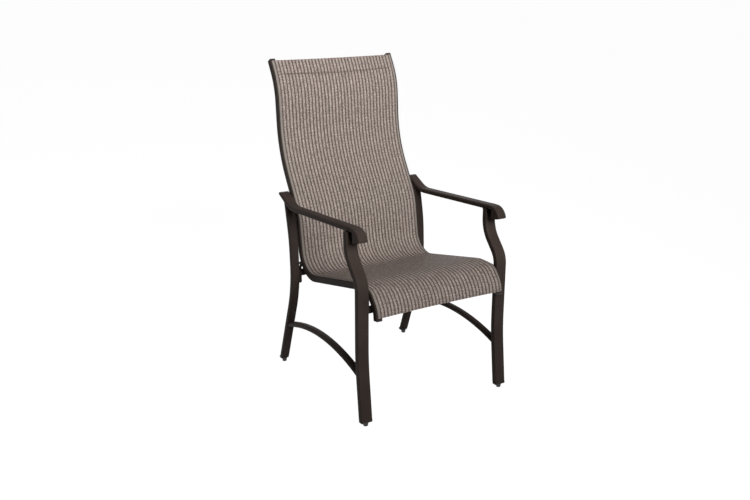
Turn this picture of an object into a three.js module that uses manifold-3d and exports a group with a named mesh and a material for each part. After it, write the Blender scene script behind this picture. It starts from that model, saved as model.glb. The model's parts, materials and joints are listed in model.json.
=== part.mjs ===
import * as THREE from 'three';
import { mergeVertices } from 'three/addons/utils/BufferGeometryUtils.js';
import Module from 'manifold-3d';

const wasm = await Module();
wasm.setup();

// A sling patio chair. Millimetres, Z up, the chair faces -Y, the origin on the floor under its middle.

// Overall sizes
const overallWidth = 584;
const overallDepth = 737;
const overallHeight = 1118;
const seatHeight = 446.5;
const armHeight = 630;

// Fits
const seatGap = 0.3;
const boreClearance = 0.3;
const cutOverrun = 50;

// Leg tubes
const frontLegWidth = 41;
const frontLegDepth = 21.3;
const rearLegWidth = 30;
const rearLegDepth = 18;
const legWall = 2;
const legCornerRadius = 3.5;
const footBendRadius = 900;
const shinBendRadius = 75;
const kneeBendRadius = 106;
const rearLowBendRadius = 467;
const rearHighBendRadius = 540;

// Side stretcher between the legs of one side
const stretcherWidth = 20;
const stretcherThickness = 14;
const stretcherWall = 1.5;
const stretcherInset = 17;
const stretcherFrontHeight = 161.5;
const stretcherRearHeight = 168;
const stretcherRise = 50;

// Armrest tube, its scroll at the front and its plug at the rear
const armWidth = 35;
const armThickness = 17;
const armWall = 2;
const armEdgeRadius = 6;
const armTailBendRadius = 110;
const armTailRise = 36;
const plugLength = 22;
const scrollLead = 21;
const scrollRadius = 46;
const scrollTipDrop = 39.5;
const scrollTipSetback = 2.5;
const scrollHeelDrop = 49.5;
const scrollHeelSetback = 20.5;
const scrollEdge = 4.5;

// Sling rail, its groove and its two caps
const railWidth = 21;
const railDepth = 23;
const railWall = 1.8;
const railCornerRadius = 2.5;
const railLip = 5;
const grooveLipThickness = 2;
const grooveSlotWidth = 2.4;
const grooveRadius = 3.3;
const noseBendRadius = 72;
const edgeBendRadius = 38;
const crestBendRadius = 138;
const seatBackBendRadius = 88;
const lumbarBendRadius = 209;
const shoulderBendRadius = 401;
const flareBendRadius = 224;
const capThickness = 4.5;
const capPlugLength = 12;

// Sling and the rods in its hems
const slingThickness = 1.2;
const slingSag = 4;
const slingBottomMargin = 6;
const slingTopMargin = 3.5;
const rodRadius = 2.9;
const rodEndMargin = 3;

// Crossbars between the side frames, and how far under the seat height they lie
const crossbarDepth = 15;
const crossbarHeight = 25;
const crossbarWall = 1.5;
const frontCrossbarDrop = 57;
const rearCrossbarDrop = 66.5;

// Spreaders between the rails; the back one lies under the overall height by its drop
const spreaderDiameter = 19;
const spreaderWall = 1.5;
const spreaderEndRun = 40;
const spreaderRamp = 70;
const spreaderBow = 24;
const spreaderBendRadius = 60;
const backSpreaderDrop = 133;

// Rail bolts, with what they pass through and what holds them; drops are under the seat and the arms
const railGap = 3;
const boltRadius = 3;
const boltHeadRadius = 5.5;
const boltHeadHeight = 3.5;
const boltTail = 10;
const spacerRadius = 8;
const insertRadius = 4.6;
const insertFlangeRadius = 7;
const insertFlangeThickness = 0.5;
const insertLength = 12;
const rearBoltDrop = 22.5;
const backBoltDrop = 55;
const tabWidth = 14;
const nutRadius = 6;
const nutLength = 5;

// Gussets under the rear crossbar, in the corners with the legs
const gussetReach = 10;
const gussetDrop = 25;
const gussetDepth = 10;
const gussetCornerRadius = 5;

// Foot glides
const nubHeight = 13;
const nubRadius = 8;
const nubRootRadius = 10.5;
const nubEdge = 1.5;
const glideFlangeThickness = 3;
const glideSpigotLength = 24;

// Bends, as shares of the overall depth and of the height named beside each table
const frontLegShares = [
  [-0.447, 0],
  [-0.421, 0.3421],
  [-0.4305, 0.7598],
  [-0.3377, 0.8911],
  [-0.3396, 1.0476],
];
const rearLegShares = [
  [0.4057, 0],
  [0.2305, 0.5232],
  [0.237, 0.8021],
  [0.2807, 1.0635],
];
const armShares = [
  [-0.3825, 1.0238],
  [0.2117, 0.9886],
  [0.3433, 1.0675],
];
const seatRailShares = [
  [-0.4836, 0.813],
  [-0.4798, 0.8916],
  [-0.4301, 0.9922],
  [-0.3297, 1],
  [0.2034, 0.8266],
];
const backRailShares = [
  [0.2456, 0.2192],
  [0.4073, 0.5269],
  [0.4205, 0.8639],
  [0.4864, 0.992],
];
const armJointShare = -0.3555;
const armTailShare = 0.3216;
const seatSpreaderShare = 0.0543;

// Facets
const turnPerStep = THREE.MathUtils.degToRad(11);
const cornerSteps = 2;
const grooveSteps = 6;
const roundSteps = 12;
const slingSpans = 8;
const nutSides = 6;

// Places that follow from the sizes above
const legInnerX = overallWidth / 2 - frontLegWidth;
const frontLegX = legInnerX + frontLegWidth / 2;
const rearLegX = legInnerX + rearLegWidth / 2;
const armX = legInnerX + armWidth / 2;
const stretcherX = legInnerX + stretcherInset;
const railOuterX = legInnerX - railGap;
const railX = railOuterX - railWidth / 2;
const railInnerX = railOuterX - railWidth;
const grooveOffset = railWidth / 2 - railLip - grooveSlotWidth / 2;
const grooveHalfAngle = Math.asin(grooveSlotWidth / 2 / grooveRadius);
const grooveDepth = grooveLipThickness + grooveRadius * Math.cos(grooveHalfAngle);
const grooveLevel = railDepth / 2 - grooveDepth;
const chamberTop = grooveLevel - grooveRadius - railWall;
const chamberBottom = railWall - railDepth / 2;
const chamberLevel = (chamberTop + chamberBottom) / 2;
const footHeight = nubHeight + glideFlangeThickness;
const sides = [{ name: 'left', sign: 1 }, { name: 'right', sign: -1 }];

const chair = new THREE.Group();

// Paths in the side plane: stations with a place and a direction, closer together in the bends
class BentPath extends THREE.Curve {
  constructor(stations) {
    super();
    this.stations = stations;
  }

  getUtoTmapping(u) {
    return u;
  }

  station(t) {
    return this.stations[Math.round(t * (this.stations.length - 1))];
  }

  getPoint(t) {
    const { place } = this.station(t);
    return new THREE.Vector3(0, place.x, place.y);
  }

  getTangent(t) {
    const { direction } = this.station(t);
    return new THREE.Vector3(0, direction.x, direction.y);
  }

  // The section's own axes: one towards -X, the other towards the sitter
  computeFrenetFrames(steps) {
    const across = new THREE.Vector3(1, 0, 0);
    const tangents = Array.from({ length: steps + 1 }, (_, i) => this.getTangent(i / steps));
    const normals = tangents.map(() => across.clone().negate());
    const binormals = tangents.map((tangent) => across.clone().cross(tangent));
    return { tangents, normals, binormals };
  }

  get length() {
    return this.stations.slice(1).reduce((sum, s, i) => sum + s.place.distanceTo(this.stations[i].place), 0);
  }

  // The station at a distance along the path
  at(distance) {
    let left = distance;
    for (let i = 1; i < this.stations.length; i++) {
      const [a, b] = [this.stations[i - 1], this.stations[i]];
      const run = a.place.distanceTo(b.place);
      if (left <= run || i === this.stations.length - 1) return between(a, b, left / run);
      left -= run;
    }
  }

  // The station where the path, followed upwards, passes a height
  atHeight(height) {
    for (let i = this.stations.length - 1; i > 0; i--) {
      const [a, b] = [this.stations[i - 1], this.stations[i]];
      if (a.place.y <= height && height <= b.place.y) {
        return between(a, b, (height - a.place.y) / (b.place.y - a.place.y));
      }
    }
    throw new Error('the path does not reach this height');
  }

  // The part of the path between two distances along it
  part(from, to) {
    let travelled = 0;
    const inside = this.stations.filter((s, i) => {
      travelled += i ? s.place.distanceTo(this.stations[i - 1].place) : 0;
      return travelled > from && travelled < to;
    });
    return new BentPath([this.at(from), ...inside, this.at(to)]);
  }
}

function between(a, b, share) {
  return {
    place: a.place.clone().lerp(b.place, share),
    direction: a.direction.clone().lerp(b.direction, share).normalize(),
  };
}

// Straight runs between corners, with a round bend in each inner corner
function bentPath(corners, radii) {
  const points = corners.map(([y, z]) => new THREE.Vector2(y, z));
  const runs = points.slice(1).map((p, i) => p.clone().sub(points[i]));
  const stations = [{ place: points[0], direction: runs[0].clone().normalize() }];
  radii.forEach((radius, i) => {
    const [before, after] = [runs[i].clone().normalize(), runs[i + 1].clone().normalize()];
    const turn = Math.atan2(before.cross(after), before.dot(after));
    const roomBefore = runs[i].length() / (i ? 2 : 1);
    const roomAfter = runs[i + 1].length() / (i < radii.length - 1 ? 2 : 1);
    const reach = Math.min(radius * Math.tan(Math.abs(turn) / 2), roomBefore, roomAfter);
    const bend = reach / Math.tan(Math.abs(turn) / 2);
    const toCentre = new THREE.Vector2(-before.y, before.x).multiplyScalar(Math.sign(turn) * bend);
    const start = points[i + 1].clone().addScaledVector(before, -reach);
    const centre = start.clone().add(toCentre);
    const steps = Math.ceil(Math.abs(turn) / turnPerStep);
    for (let k = 0; k <= steps; k++) {
      const angle = turn * k / steps;
      const place = start.clone().rotateAround(centre, angle);
      const direction = before.clone().rotateAround(new THREE.Vector2(), angle);
      stations.push({ place, direction });
    }
  });
  stations.push({ place: points.at(-1), direction: runs.at(-1).clone().normalize() });
  return new BentPath(stations);
}

// A round arch from one point to another that rises above the line between them
function archPath(start, end, rise) {
  const chord = end.clone().sub(start);
  const half = chord.length() / 2;
  const radius = (half * half + rise * rise) / (2 * rise);
  const up = new THREE.Vector2(-chord.y, chord.x).normalize();
  const centre = start.clone().lerp(end, 1 / 2).addScaledVector(up, rise - radius);
  const halfTurn = Math.asin(half / radius);
  const steps = Math.ceil(2 * halfTurn / turnPerStep) + 1;
  const stations = [];
  for (let k = 0; k <= steps; k++) {
    const angle = halfTurn * (1 - 2 * k / steps);
    const outward = up.clone().rotateAround(new THREE.Vector2(), angle);
    const direction = new THREE.Vector2(outward.y, -outward.x);
    stations.push({ place: centre.clone().addScaledVector(outward, radius), direction });
  }
  return new BentPath(stations);
}

function scaledCorners(shares, height, base = 0) {
  return shares.map(([depthShare, heightShare]) => [depthShare * overallDepth, base + heightShare * height]);
}

// Section outlines: x runs outboard, y runs to the side of the path that the sitter sees
function arcPoints(x, y, radius, from, to, steps) {
  return Array.from({ length: steps + 1 }, (_, k) => {
    const angle = from + (to - from) * k / steps;
    return new THREE.Vector2(x + radius * Math.cos(angle), y + radius * Math.sin(angle));
  });
}

function roundedRectangle(width, depth, radius, steps = cornerSteps) {
  const round = Math.min(radius, width / 2, depth / 2);
  const [x, y] = [width / 2 - round, depth / 2 - round];
  const quarter = Math.PI / 2;
  const centres = [[x, y], [-x, y], [-x, -y], [x, -y]];
  return centres.flatMap(([cx, cy], i) => arcPoints(cx, cy, round, i * quarter, (i + 1) * quarter, steps));
}

function circle(radius) {
  return arcPoints(0, 0, radius, 0, 2 * Math.PI, roundSteps).slice(1);
}

// Solids
function solidOf(geometry) {
  geometry.deleteAttribute('normal');
  geometry.deleteAttribute('uv');
  const merged = mergeVertices(geometry);
  const vertProperties = Float32Array.from(merged.attributes.position.array);
  const triVerts = Uint32Array.from(merged.index.array);
  return new wasm.Manifold(new wasm.Mesh({ numProp: 3, vertProperties, triVerts }));
}

function geometryOf(solid) {
  const mesh = solid.getMesh();
  const geometry = new THREE.BufferGeometry();
  geometry.setAttribute('position', new THREE.BufferAttribute(mesh.vertProperties, 3));
  geometry.setIndex(new THREE.BufferAttribute(mesh.triVerts, 1));
  geometry.computeVertexNormals();
  return geometry;
}

// A section swept along a path; x, y and z of the solid are those of the chair
function sweep(outline, path, holes = []) {
  const facing = (points) => points.map((p) => new THREE.Vector2(-p.x, p.y)).reverse();
  const shape = new THREE.Shape(facing(outline));
  shape.holes = holes.map((hole) => new THREE.Path(facing(hole)));
  const steps = path.stations.length - 1;
  return solidOf(new THREE.ExtrudeGeometry(shape, { extrudePath: path, steps, curveSegments: 1 }));
}

// A swept section whose path runs across the chair and bows in the given direction of the side plane
function sweepAcross(outline, path, holes, direction, place) {
  const [across, bow] = [new THREE.Vector3(1, 0, 0), new THREE.Vector3(0, direction.x, direction.y)];
  const turned = new THREE.Matrix4().makeBasis(across.clone().cross(bow), across, bow);
  turned.setPosition(0, place.x, place.y);
  const geometry = geometryOf(sweep(outline, path, holes)).applyMatrix4(turned);
  return solidOf(geometry);
}

function box(from, to) {
  const [low, high] = [new THREE.Vector3(...from), new THREE.Vector3(...to)];
  const size = high.clone().sub(low);
  const middle = low.clone().add(high).multiplyScalar(1 / 2);
  return solidOf(new THREE.BoxGeometry(...size).translate(...middle));
}

// Everything within two heights
function slab(low, high) {
  return box([-overallWidth, -overallDepth, low], [overallWidth, overallDepth, high]);
}

// A turned solid along X; its profile is a list of distances along X and radii
function turned(profile, place, segments = roundSteps) {
  const points = profile.map(([x, radius]) => new THREE.Vector2(radius, x));
  const geometry = new THREE.LatheGeometry(points, segments);
  geometry.rotateZ(-Math.PI / 2);
  return solidOf(geometry.translate(0, place.x, place.y));
}

function shifted(solid, x) {
  return solid.translate([x, 0, 0]);
}

// Materials
function paint() {
  return new THREE.MeshStandardMaterial({ color: 0x4b423d, roughness: 0.45, metalness: 0.35 });
}

function darkPlastic() {
  return new THREE.MeshStandardMaterial({ color: 0x1d1b1a, roughness: 0.6, metalness: 0 });
}

function zinc() {
  return new THREE.MeshStandardMaterial({ color: 0x343332, roughness: 0.45, metalness: 0.8 });
}

function wovenFabric() {
  return new THREE.MeshStandardMaterial({ color: 0xa2958a, roughness: 0.85, metalness: 0 });
}

// Adds a piece that stands once, on the middle plane
function addPiece(name, solid, material) {
  const mesh = new THREE.Mesh(geometryOf(solid), material);
  mesh.name = name;
  chair.add(mesh);
}

function mirrored(geometry) {
  const copy = geometry.clone().scale(-1, 1, 1);
  const index = copy.index.array;
  for (let i = 0; i < index.length; i += 3) [index[i], index[i + 1]] = [index[i + 1], index[i]];
  return copy;
}

// Adds a piece to both sides; the solid is centred on its own X and faces outboard along +X
function addToSides(name, solid, x, material) {
  const geometry = geometryOf(solid);
  for (const side of sides) {
    const mesh = new THREE.Mesh(side.sign > 0 ? geometry : mirrored(geometry), material());
    mesh.name = `${side.name}_${name}`;
    mesh.position.x = side.sign * x;
    chair.add(mesh);
  }
}

// The paths that the pieces share
const frontLegPath = bentPath(
  scaledCorners(frontLegShares, armHeight),
  [footBendRadius, shinBendRadius, kneeBendRadius],
);
const rearLegPath = bentPath(
  scaledCorners(rearLegShares, armHeight),
  [rearLowBendRadius, rearHighBendRadius],
);
const armPath = bentPath(scaledCorners(armShares, armHeight), [armTailBendRadius]);
const railPath = bentPath(
  [
    ...scaledCorners(seatRailShares, seatHeight),
    ...scaledCorners(backRailShares, overallHeight - seatHeight, seatHeight),
  ],
  [
    noseBendRadius,
    edgeBendRadius,
    crestBendRadius,
    seatBackBendRadius,
    lumbarBendRadius,
    shoulderBendRadius,
    flareBendRadius,
  ],
);
const railLength = railPath.length;

// A point beside a path, towards the side that the sitter sees
function besidePath(station, distance) {
  const towardsSitter = new THREE.Vector2(-station.direction.y, station.direction.x);
  return station.place.clone().addScaledVector(towardsSitter, distance);
}

// Where one path, followed from its start, first crosses another
function crossing(path, other) {
  for (let i = 1; i < path.stations.length; i++) {
    const [a, b] = [path.stations[i - 1], path.stations[i]];
    for (let k = 1; k < other.stations.length; k++) {
      const [c, d] = [other.stations[k - 1].place, other.stations[k].place];
      const run = b.place.clone().sub(a.place);
      const otherRun = d.clone().sub(c);
      const offset = c.clone().sub(a.place);
      const area = run.cross(otherRun);
      const share = offset.cross(otherRun) / area;
      const otherShare = offset.cross(run) / area;
      if (share >= 0 && share <= 1 && otherShare >= 0 && otherShare <= 1) return between(a, b, share);
    }
  }
  throw new Error('the paths do not cross');
}

// The three bolts of a rail: on the front crossbar's tab, on the rear crossbar's tab and on the rear leg
const frontBolt = besidePath(crossing(railPath, frontLegPath), chamberLevel);
const rearBolt = besidePath(railPath.atHeight(seatHeight - rearBoltDrop), chamberLevel);
const backBolt = besidePath(railPath.atHeight(armHeight - backBoltDrop), chamberLevel);

// Space that the armrest takes from what ends under it
function aboveArmUnderside() {
  const low = -armThickness / 2 - seatGap;
  const outline = [[-1, low], [1, low], [1, cutOverrun], [-1, cutOverrun]];
  return sweep(outline.map(([side, y]) => new THREE.Vector2(side * overallWidth, y)), armPath);
}

function insertBore(place) {
  const radius = insertRadius + boreClearance;
  return turned([[-cutOverrun, 0], [-cutOverrun, radius], [insertLength, radius], [insertLength, 0]], place);
}

function legTube(path, width, depth) {
  const outer = roundedRectangle(width, depth, legCornerRadius);
  const inner = roundedRectangle(width - 2 * legWall, depth - 2 * legWall, legCornerRadius - legWall);
  return sweep(outer, path, [inner]).subtract(slab(-cutOverrun, footHeight)).subtract(aboveArmUnderside());
}

// Insert bores reach through the inner wall only
function boredLeg(tube, width, place) {
  const innerHalf = box([-width, -overallDepth, 0], [0, overallDepth, overallHeight]);
  return tube.subtract(shifted(insertBore(place), -width / 2).intersect(innerHalf));
}

function frontLegs() {
  const tube = legTube(frontLegPath, frontLegWidth, frontLegDepth);
  addToSides('front_leg', boredLeg(tube, frontLegWidth, frontBolt), frontLegX, paint);
}

function rearLegs() {
  const tube = legTube(rearLegPath, rearLegWidth, rearLegDepth);
  addToSides('rear_leg', boredLeg(tube, rearLegWidth, backBolt), rearLegX, paint);
}

// Foot glide: a spigot in the tube, a flange under its end and a round nub
function glide(path, width, depth) {
  const spigotWidth = width - 2 * legWall - 2 * seatGap;
  const spigotDepth = depth - 2 * legWall - 2 * seatGap;
  const spigotRadius = legCornerRadius - legWall - seatGap;
  const spigot = sweep(roundedRectangle(spigotWidth, spigotDepth, spigotRadius, 1), path)
    .intersect(slab(nubHeight, footHeight + glideSpigotLength));
  const flange = sweep(roundedRectangle(width, depth, legCornerRadius), path)
    .intersect(slab(nubHeight, footHeight - seatGap));
  const profile = [
    [0, 0],
    [nubRadius - nubEdge, 0],
    [nubRadius, nubEdge],
    [nubRootRadius, nubHeight],
    [nubRootRadius * 3 / 4, footHeight - seatGap],
    [0, footHeight - seatGap],
  ];
  const nub = new THREE.LatheGeometry(profile.map(([x, y]) => new THREE.Vector2(x, y)), roundSteps);
  nub.rotateX(Math.PI / 2);
  nub.translate(0, path.atHeight(footHeight).place.x, 0);
  return spigot.add(flange).add(solidOf(nub));
}

function glides() {
  addToSides('front_glide', glide(frontLegPath, frontLegWidth, frontLegDepth), frontLegX, darkPlastic);
  addToSides('rear_glide', glide(rearLegPath, rearLegWidth, rearLegDepth), rearLegX, darkPlastic);
}

// Side stretcher: a hollow flat oval that ends on the faces of both legs
function sideStretchers() {
  const start = frontLegPath.atHeight(stretcherFrontHeight).place;
  const end = rearLegPath.atHeight(stretcherRearHeight).place;
  const path = archPath(start, end, stretcherRise);
  const outer = roundedRectangle(stretcherWidth, stretcherThickness, stretcherThickness / 2, 2 * cornerSteps);
  const bore = stretcherThickness - 2 * stretcherWall;
  const inner = roundedRectangle(stretcherWidth - 2 * stretcherWall, bore, bore / 2);
  const legSpace = (legPath, depth, side) => {
    const [face, beyond] = [side * (depth / 2 + seatGap), -side * cutOverrun];
    const outline = [[-1, face], [1, face], [1, beyond], [-1, beyond]];
    return sweep(outline.map(([x, y]) => new THREE.Vector2(x * overallWidth, y)), legPath);
  };
  const tube = sweep(outer, path, [inner])
    .subtract(legSpace(frontLegPath, frontLegDepth, -1))
    .subtract(legSpace(rearLegPath, rearLegDepth, 1));
  addToSides('side_stretcher', tube, stretcherX, paint);
}

// Armrest
function armSection(inset, steps) {
  return roundedRectangle(armWidth - 2 * inset, armThickness - 2 * inset, armEdgeRadius - inset, steps);
}

const armTailReach = armTailShare * overallDepth;
const armTailHeight = armHeight + armTailRise;

function armTailSpace() {
  const start = armJointShare * overallDepth + seatGap;
  return box([-armWidth, start, 0], [armWidth, armTailReach, armTailHeight]);
}

function armrests() {
  const tube = sweep(armSection(0), armPath, [armSection(armWall, 1)]).intersect(armTailSpace());
  addToSides('armrest', tube, armX, paint);
  const plug = sweep(armSection(armWall + seatGap, 1), armPath)
    .intersect(box([-armWidth, armTailReach - plugLength, 0], [armWidth, armTailReach, armTailHeight]));
  addToSides('armrest_tail_plug', plug, armX, darkPlastic);
}

// Arm scroll: its side outline, drawn with y to the rear and z up, and its spigot in the armrest tube
function armScrolls() {
  const jointY = armJointShare * overallDepth;
  const slope = armPath.stations[0].direction;
  const jointZ = armPath.stations[0].place.y + (jointY - armPath.stations[0].place.x) * slope.y / slope.x;
  const top = jointZ + armThickness / 2;
  const centre = new THREE.Vector2(jointY - scrollLead, top - scrollRadius);
  const tip = new THREE.Vector2(centre.x - scrollRadius + scrollTipSetback, top - scrollTipDrop);
  const outline = new THREE.Shape();
  outline.moveTo(jointY, top);
  outline.lineTo(centre.x, top);
  outline.absarc(centre.x, centre.y, scrollRadius, Math.PI / 2, Math.PI * 8 / 9, false);
  const corner = tip.clone().add(new THREE.Vector2(-scrollTipSetback, scrollTipSetback));
  outline.quadraticCurveTo(corner.x, corner.y, tip.x + scrollTipSetback, tip.y);
  outline.lineTo(jointY - scrollHeelSetback, top - scrollHeelDrop);
  outline.lineTo(jointY - scrollHeelSetback, jointZ - armThickness / 2);
  outline.lineTo(jointY, jointZ - armThickness / 2);
  const geometry = new THREE.ExtrudeGeometry(outline, {
    depth: armWidth - 2 * scrollEdge,
    bevelThickness: scrollEdge,
    bevelSize: scrollEdge,
    bevelOffset: -scrollEdge,
    bevelSegments: cornerSteps,
    curveSegments: 3,
  });
  geometry.translate(0, 0, scrollEdge - armWidth / 2);
  const axes = [new THREE.Vector3(0, 1, 0), new THREE.Vector3(0, 0, 1), new THREE.Vector3(1, 0, 0)];
  geometry.applyMatrix4(new THREE.Matrix4().makeBasis(...axes));
  const spigot = sweep(armSection(armWall + seatGap, 1), armPath)
    .intersect(box([-armWidth, jointY - scrollLead, 0], [armWidth, jointY + plugLength, overallHeight]));
  addToSides('arm_scroll', solidOf(geometry).add(spigot), armX, paint);
}

// Sling rail: an extrusion with a keyhole groove near its outer edge and an L-shaped chamber
function chamber(inset) {
  const [left, right] = [railWall + inset - railWidth / 2, railWidth / 2 - railWall - inset];
  const [bottom, step, top] = [chamberBottom + inset, chamberTop - inset, railDepth / 2 - railWall - inset];
  const grooveSide = grooveOffset - grooveRadius - railWall - inset;
  const corners = [
    [left, bottom],
    [right, bottom],
    [right, step],
    [grooveSide, step],
    [grooveSide, top],
    [left, top],
  ];
  return corners.map(([x, y]) => new THREE.Vector2(x, y));
}

function railSection() {
  const [x, y] = [railWidth / 2 - railCornerRadius, railDepth / 2 - railCornerRadius];
  const quarter = Math.PI / 2;
  const slot = grooveSlotWidth / 2;
  const corner = (cx, cy, turn) => {
    return arcPoints(cx, cy, railCornerRadius, turn * quarter, (turn + 1) * quarter, 1);
  };
  const [start, end] = [quarter - grooveHalfAngle, grooveHalfAngle - 3 * quarter];
  const bore = arcPoints(grooveOffset, grooveLevel, grooveRadius, start, end, grooveSteps);
  return [
    ...corner(x, y, 0),
    new THREE.Vector2(grooveOffset + slot, railDepth / 2),
    ...bore,
    new THREE.Vector2(grooveOffset - slot, railDepth / 2),
    ...corner(-x, y, 1),
    ...corner(-x, -y, 2),
    ...corner(x, -y, 3),
  ];
}

function boltBore(place, reach) {
  const radius = boltRadius + boreClearance;
  return turned([[-reach, 0], [-reach, radius], [reach, radius], [reach, 0]], place);
}

function slingRails() {
  const path = railPath.part(capThickness, railLength - capThickness);
  const rail = [frontBolt, rearBolt, backBolt].reduce(
    (solid, place) => solid.subtract(boltBore(place, railWidth)),
    sweep(railSection(), path, [chamber(0)]),
  );
  addToSides('sling_rail', rail, railX, paint);
}

// A cap closes each end of a rail; its plug sits in the chamber
function railCaps() {
  const plate = roundedRectangle(railWidth, railDepth, railCornerRadius, 1);
  const cap = (plateFrom, plateTo, plugFrom, plugTo) => sweep(plate, railPath.part(plateFrom, plateTo))
    .add(sweep(chamber(seatGap), railPath.part(plugFrom, plugTo)));
  const reach = capThickness + capPlugLength;
  const bottom = cap(0, capThickness - seatGap, capThickness / 2, reach);
  const top = cap(
    railLength - capThickness + seatGap,
    railLength,
    railLength - reach,
    railLength - capThickness / 2,
  );
  addToSides('rail_bottom_cap', bottom, railX, darkPlastic);
  addToSides('rail_top_cap', top, railX, darkPlastic);
}

// Sling: one sheet over both rails, its edges turned down into the grooves
function sling() {
  const edge = railX + grooveOffset;
  const half = slingThickness / 2;
  const foot = grooveLevel + rodRadius + seatGap;
  const underside = railDepth / 2 + seatGap;
  const place = (k) => railInnerX * (2 * k / slingSpans - 1);
  const dip = (x) => slingSag * (1 - (x / railInnerX) ** 2);
  const across = Array.from({ length: slingSpans + 1 }, (_, k) => place(k));
  const top = across.map((x) => new THREE.Vector2(x, underside + slingThickness - dip(x)));
  const bottom = across.map((x) => new THREE.Vector2(x, underside - dip(x))).reverse();
  const outline = [
    new THREE.Vector2(-edge - half, foot),
    new THREE.Vector2(-edge - half, underside + slingThickness),
    ...top,
    new THREE.Vector2(edge + half, underside + slingThickness),
    new THREE.Vector2(edge + half, foot),
    new THREE.Vector2(edge - half, foot),
    new THREE.Vector2(edge - half, underside),
    ...bottom,
    new THREE.Vector2(half - edge, underside),
    new THREE.Vector2(half - edge, foot),
  ];
  const path = railPath.part(capThickness + slingBottomMargin, railLength - capThickness - slingTopMargin);
  addPiece('sling', sweep(outline, path), wovenFabric());
}

function splineRods() {
  const start = capThickness + rodEndMargin;
  const path = railPath.part(start, railLength - start);
  const outline = arcPoints(grooveOffset, grooveLevel, rodRadius, 0, 2 * Math.PI, grooveSteps).slice(1);
  addToSides('spline_rod', sweep(outline, path), railX, darkPlastic);
}

// Crossbars: flat oval tubes that end on the inner faces of the legs
function crossbarSection(inset) {
  const depth = crossbarDepth - 2 * inset;
  return roundedRectangle(depth, crossbarHeight - 2 * inset, depth / 2, 2 * cornerSteps);
}

function crossbarPath() {
  const reach = legInnerX - seatGap;
  return bentPath([[-reach, 0], [reach, 0]], []);
}

function crossbar(legPath, height) {
  const place = legPath.atHeight(height).place;
  const bore = crossbarSection(crossbarWall);
  return sweepAcross(crossbarSection(0), crossbarPath(), [bore], new THREE.Vector2(0, 1), place);
}

function crossbars() {
  addPiece('front_crossbar', crossbar(frontLegPath, seatHeight - frontCrossbarDrop), paint());
  addPiece('rear_crossbar', crossbar(rearLegPath, seatHeight - rearCrossbarDrop), paint());
}

// A small block with a rounded lower corner, fitted to the underside of the rear crossbar
function rearGussets() {
  const barHeight = seatHeight - rearCrossbarDrop;
  const bar = rearLegPath.atHeight(barHeight).place;
  const drop = crossbarHeight / 2 + gussetDrop;
  const behind = rearLegPath.atHeight(barHeight - drop / 2).place.x + gussetDepth / 2;
  const cornerY = gussetCornerRadius - drop;
  const shape = new THREE.Shape([
    new THREE.Vector2(-seatGap, 0),
    new THREE.Vector2(-gussetReach, 0),
    ...arcPoints(
      gussetCornerRadius - gussetReach,
      cornerY,
      gussetCornerRadius,
      Math.PI,
      Math.PI * 3 / 2,
      2 * cornerSteps,
    ),
    new THREE.Vector2(-seatGap, -drop),
  ]);
  const geometry = new THREE.ExtrudeGeometry(shape, { depth: gussetDepth, bevelEnabled: false, curveSegments: 1 });
  geometry.rotateX(Math.PI / 2).translate(0, behind, bar.y);
  const seat = sweepAcross(crossbarSection(-seatGap), crossbarPath(), [], new THREE.Vector2(0, 1), bar);
  addToSides('rear_crossbar_gusset', solidOf(geometry).subtract(seat), legInnerX, paint);
}

// Spreaders: round tubes between the rails that bow away from the sling
function spreader(station) {
  const reach = railInnerX - seatGap;
  const [rampStart, rampEnd] = [reach - spreaderEndRun, reach - spreaderEndRun - spreaderRamp];
  const corners = [
    [-reach, 0],
    [-rampStart, 0],
    [-rampEnd, spreaderBow],
    [rampEnd, spreaderBow],
    [rampStart, 0],
    [reach, 0],
  ];
  const path = bentPath(corners, Array(corners.length - 2).fill(spreaderBendRadius));
  const away = new THREE.Vector2(station.direction.y, -station.direction.x);
  const bore = circle(spreaderDiameter / 2 - spreaderWall);
  return sweepAcross(circle(spreaderDiameter / 2), path, [bore], away, station.place);
}

function spreaders() {
  addPiece('back_spreader', spreader(railPath.atHeight(overallHeight - backSpreaderDrop)), paint());
  addPiece('seat_spreader', spreader(seatStation()), paint());
}

function seatStation() {
  const straight = railPath.stations.findIndex((s) => s.place.x > 0) - 1;
  const [a, b] = [railPath.stations[straight], railPath.stations[straight + 1]];
  return between(a, b, (seatSpreaderShare * overallDepth - a.place.x) / (b.place.x - a.place.x));
}

// Rail fixings, drawn from the inner face of the leg at x = 0
const fixingHole = boltRadius + boreClearance;
const fixingStart = seatGap - railGap;
const fixingEnd = -insertFlangeThickness - 2 * seatGap;

function railBolt(place, tail) {
  const headFace = -railGap - railWidth - seatGap;
  return turned([
    [headFace - boltHeadHeight, 0],
    [headFace - boltHeadHeight, boltHeadRadius * 2 / 3],
    [headFace - boltHeadHeight / 2, boltHeadRadius],
    [headFace, boltHeadRadius],
    [headFace, boltRadius],
    [tail, boltRadius],
    [tail, 0],
  ], place);
}

// A disc with a round hole for the bolt
function ring(place, start, end, radius, segments) {
  const disc = turned([[start, 0], [start, radius], [end, radius], [end, 0]], place, segments);
  const hole = turned([
    [start - cutOverrun, 0],
    [start - cutOverrun, fixingHole],
    [end + cutOverrun, fixingHole],
    [end + cutOverrun, 0],
  ], place);
  return disc.subtract(hole);
}

function threadedInsert(place) {
  const flange = -insertFlangeThickness - seatGap;
  return turned([
    [flange, fixingHole],
    [flange, insertFlangeRadius],
    [-seatGap, insertFlangeRadius],
    [-seatGap, insertRadius],
    [insertLength - seatGap, insertRadius],
    [insertLength - seatGap, fixingHole],
    [flange, fixingHole],
  ], place);
}

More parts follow.
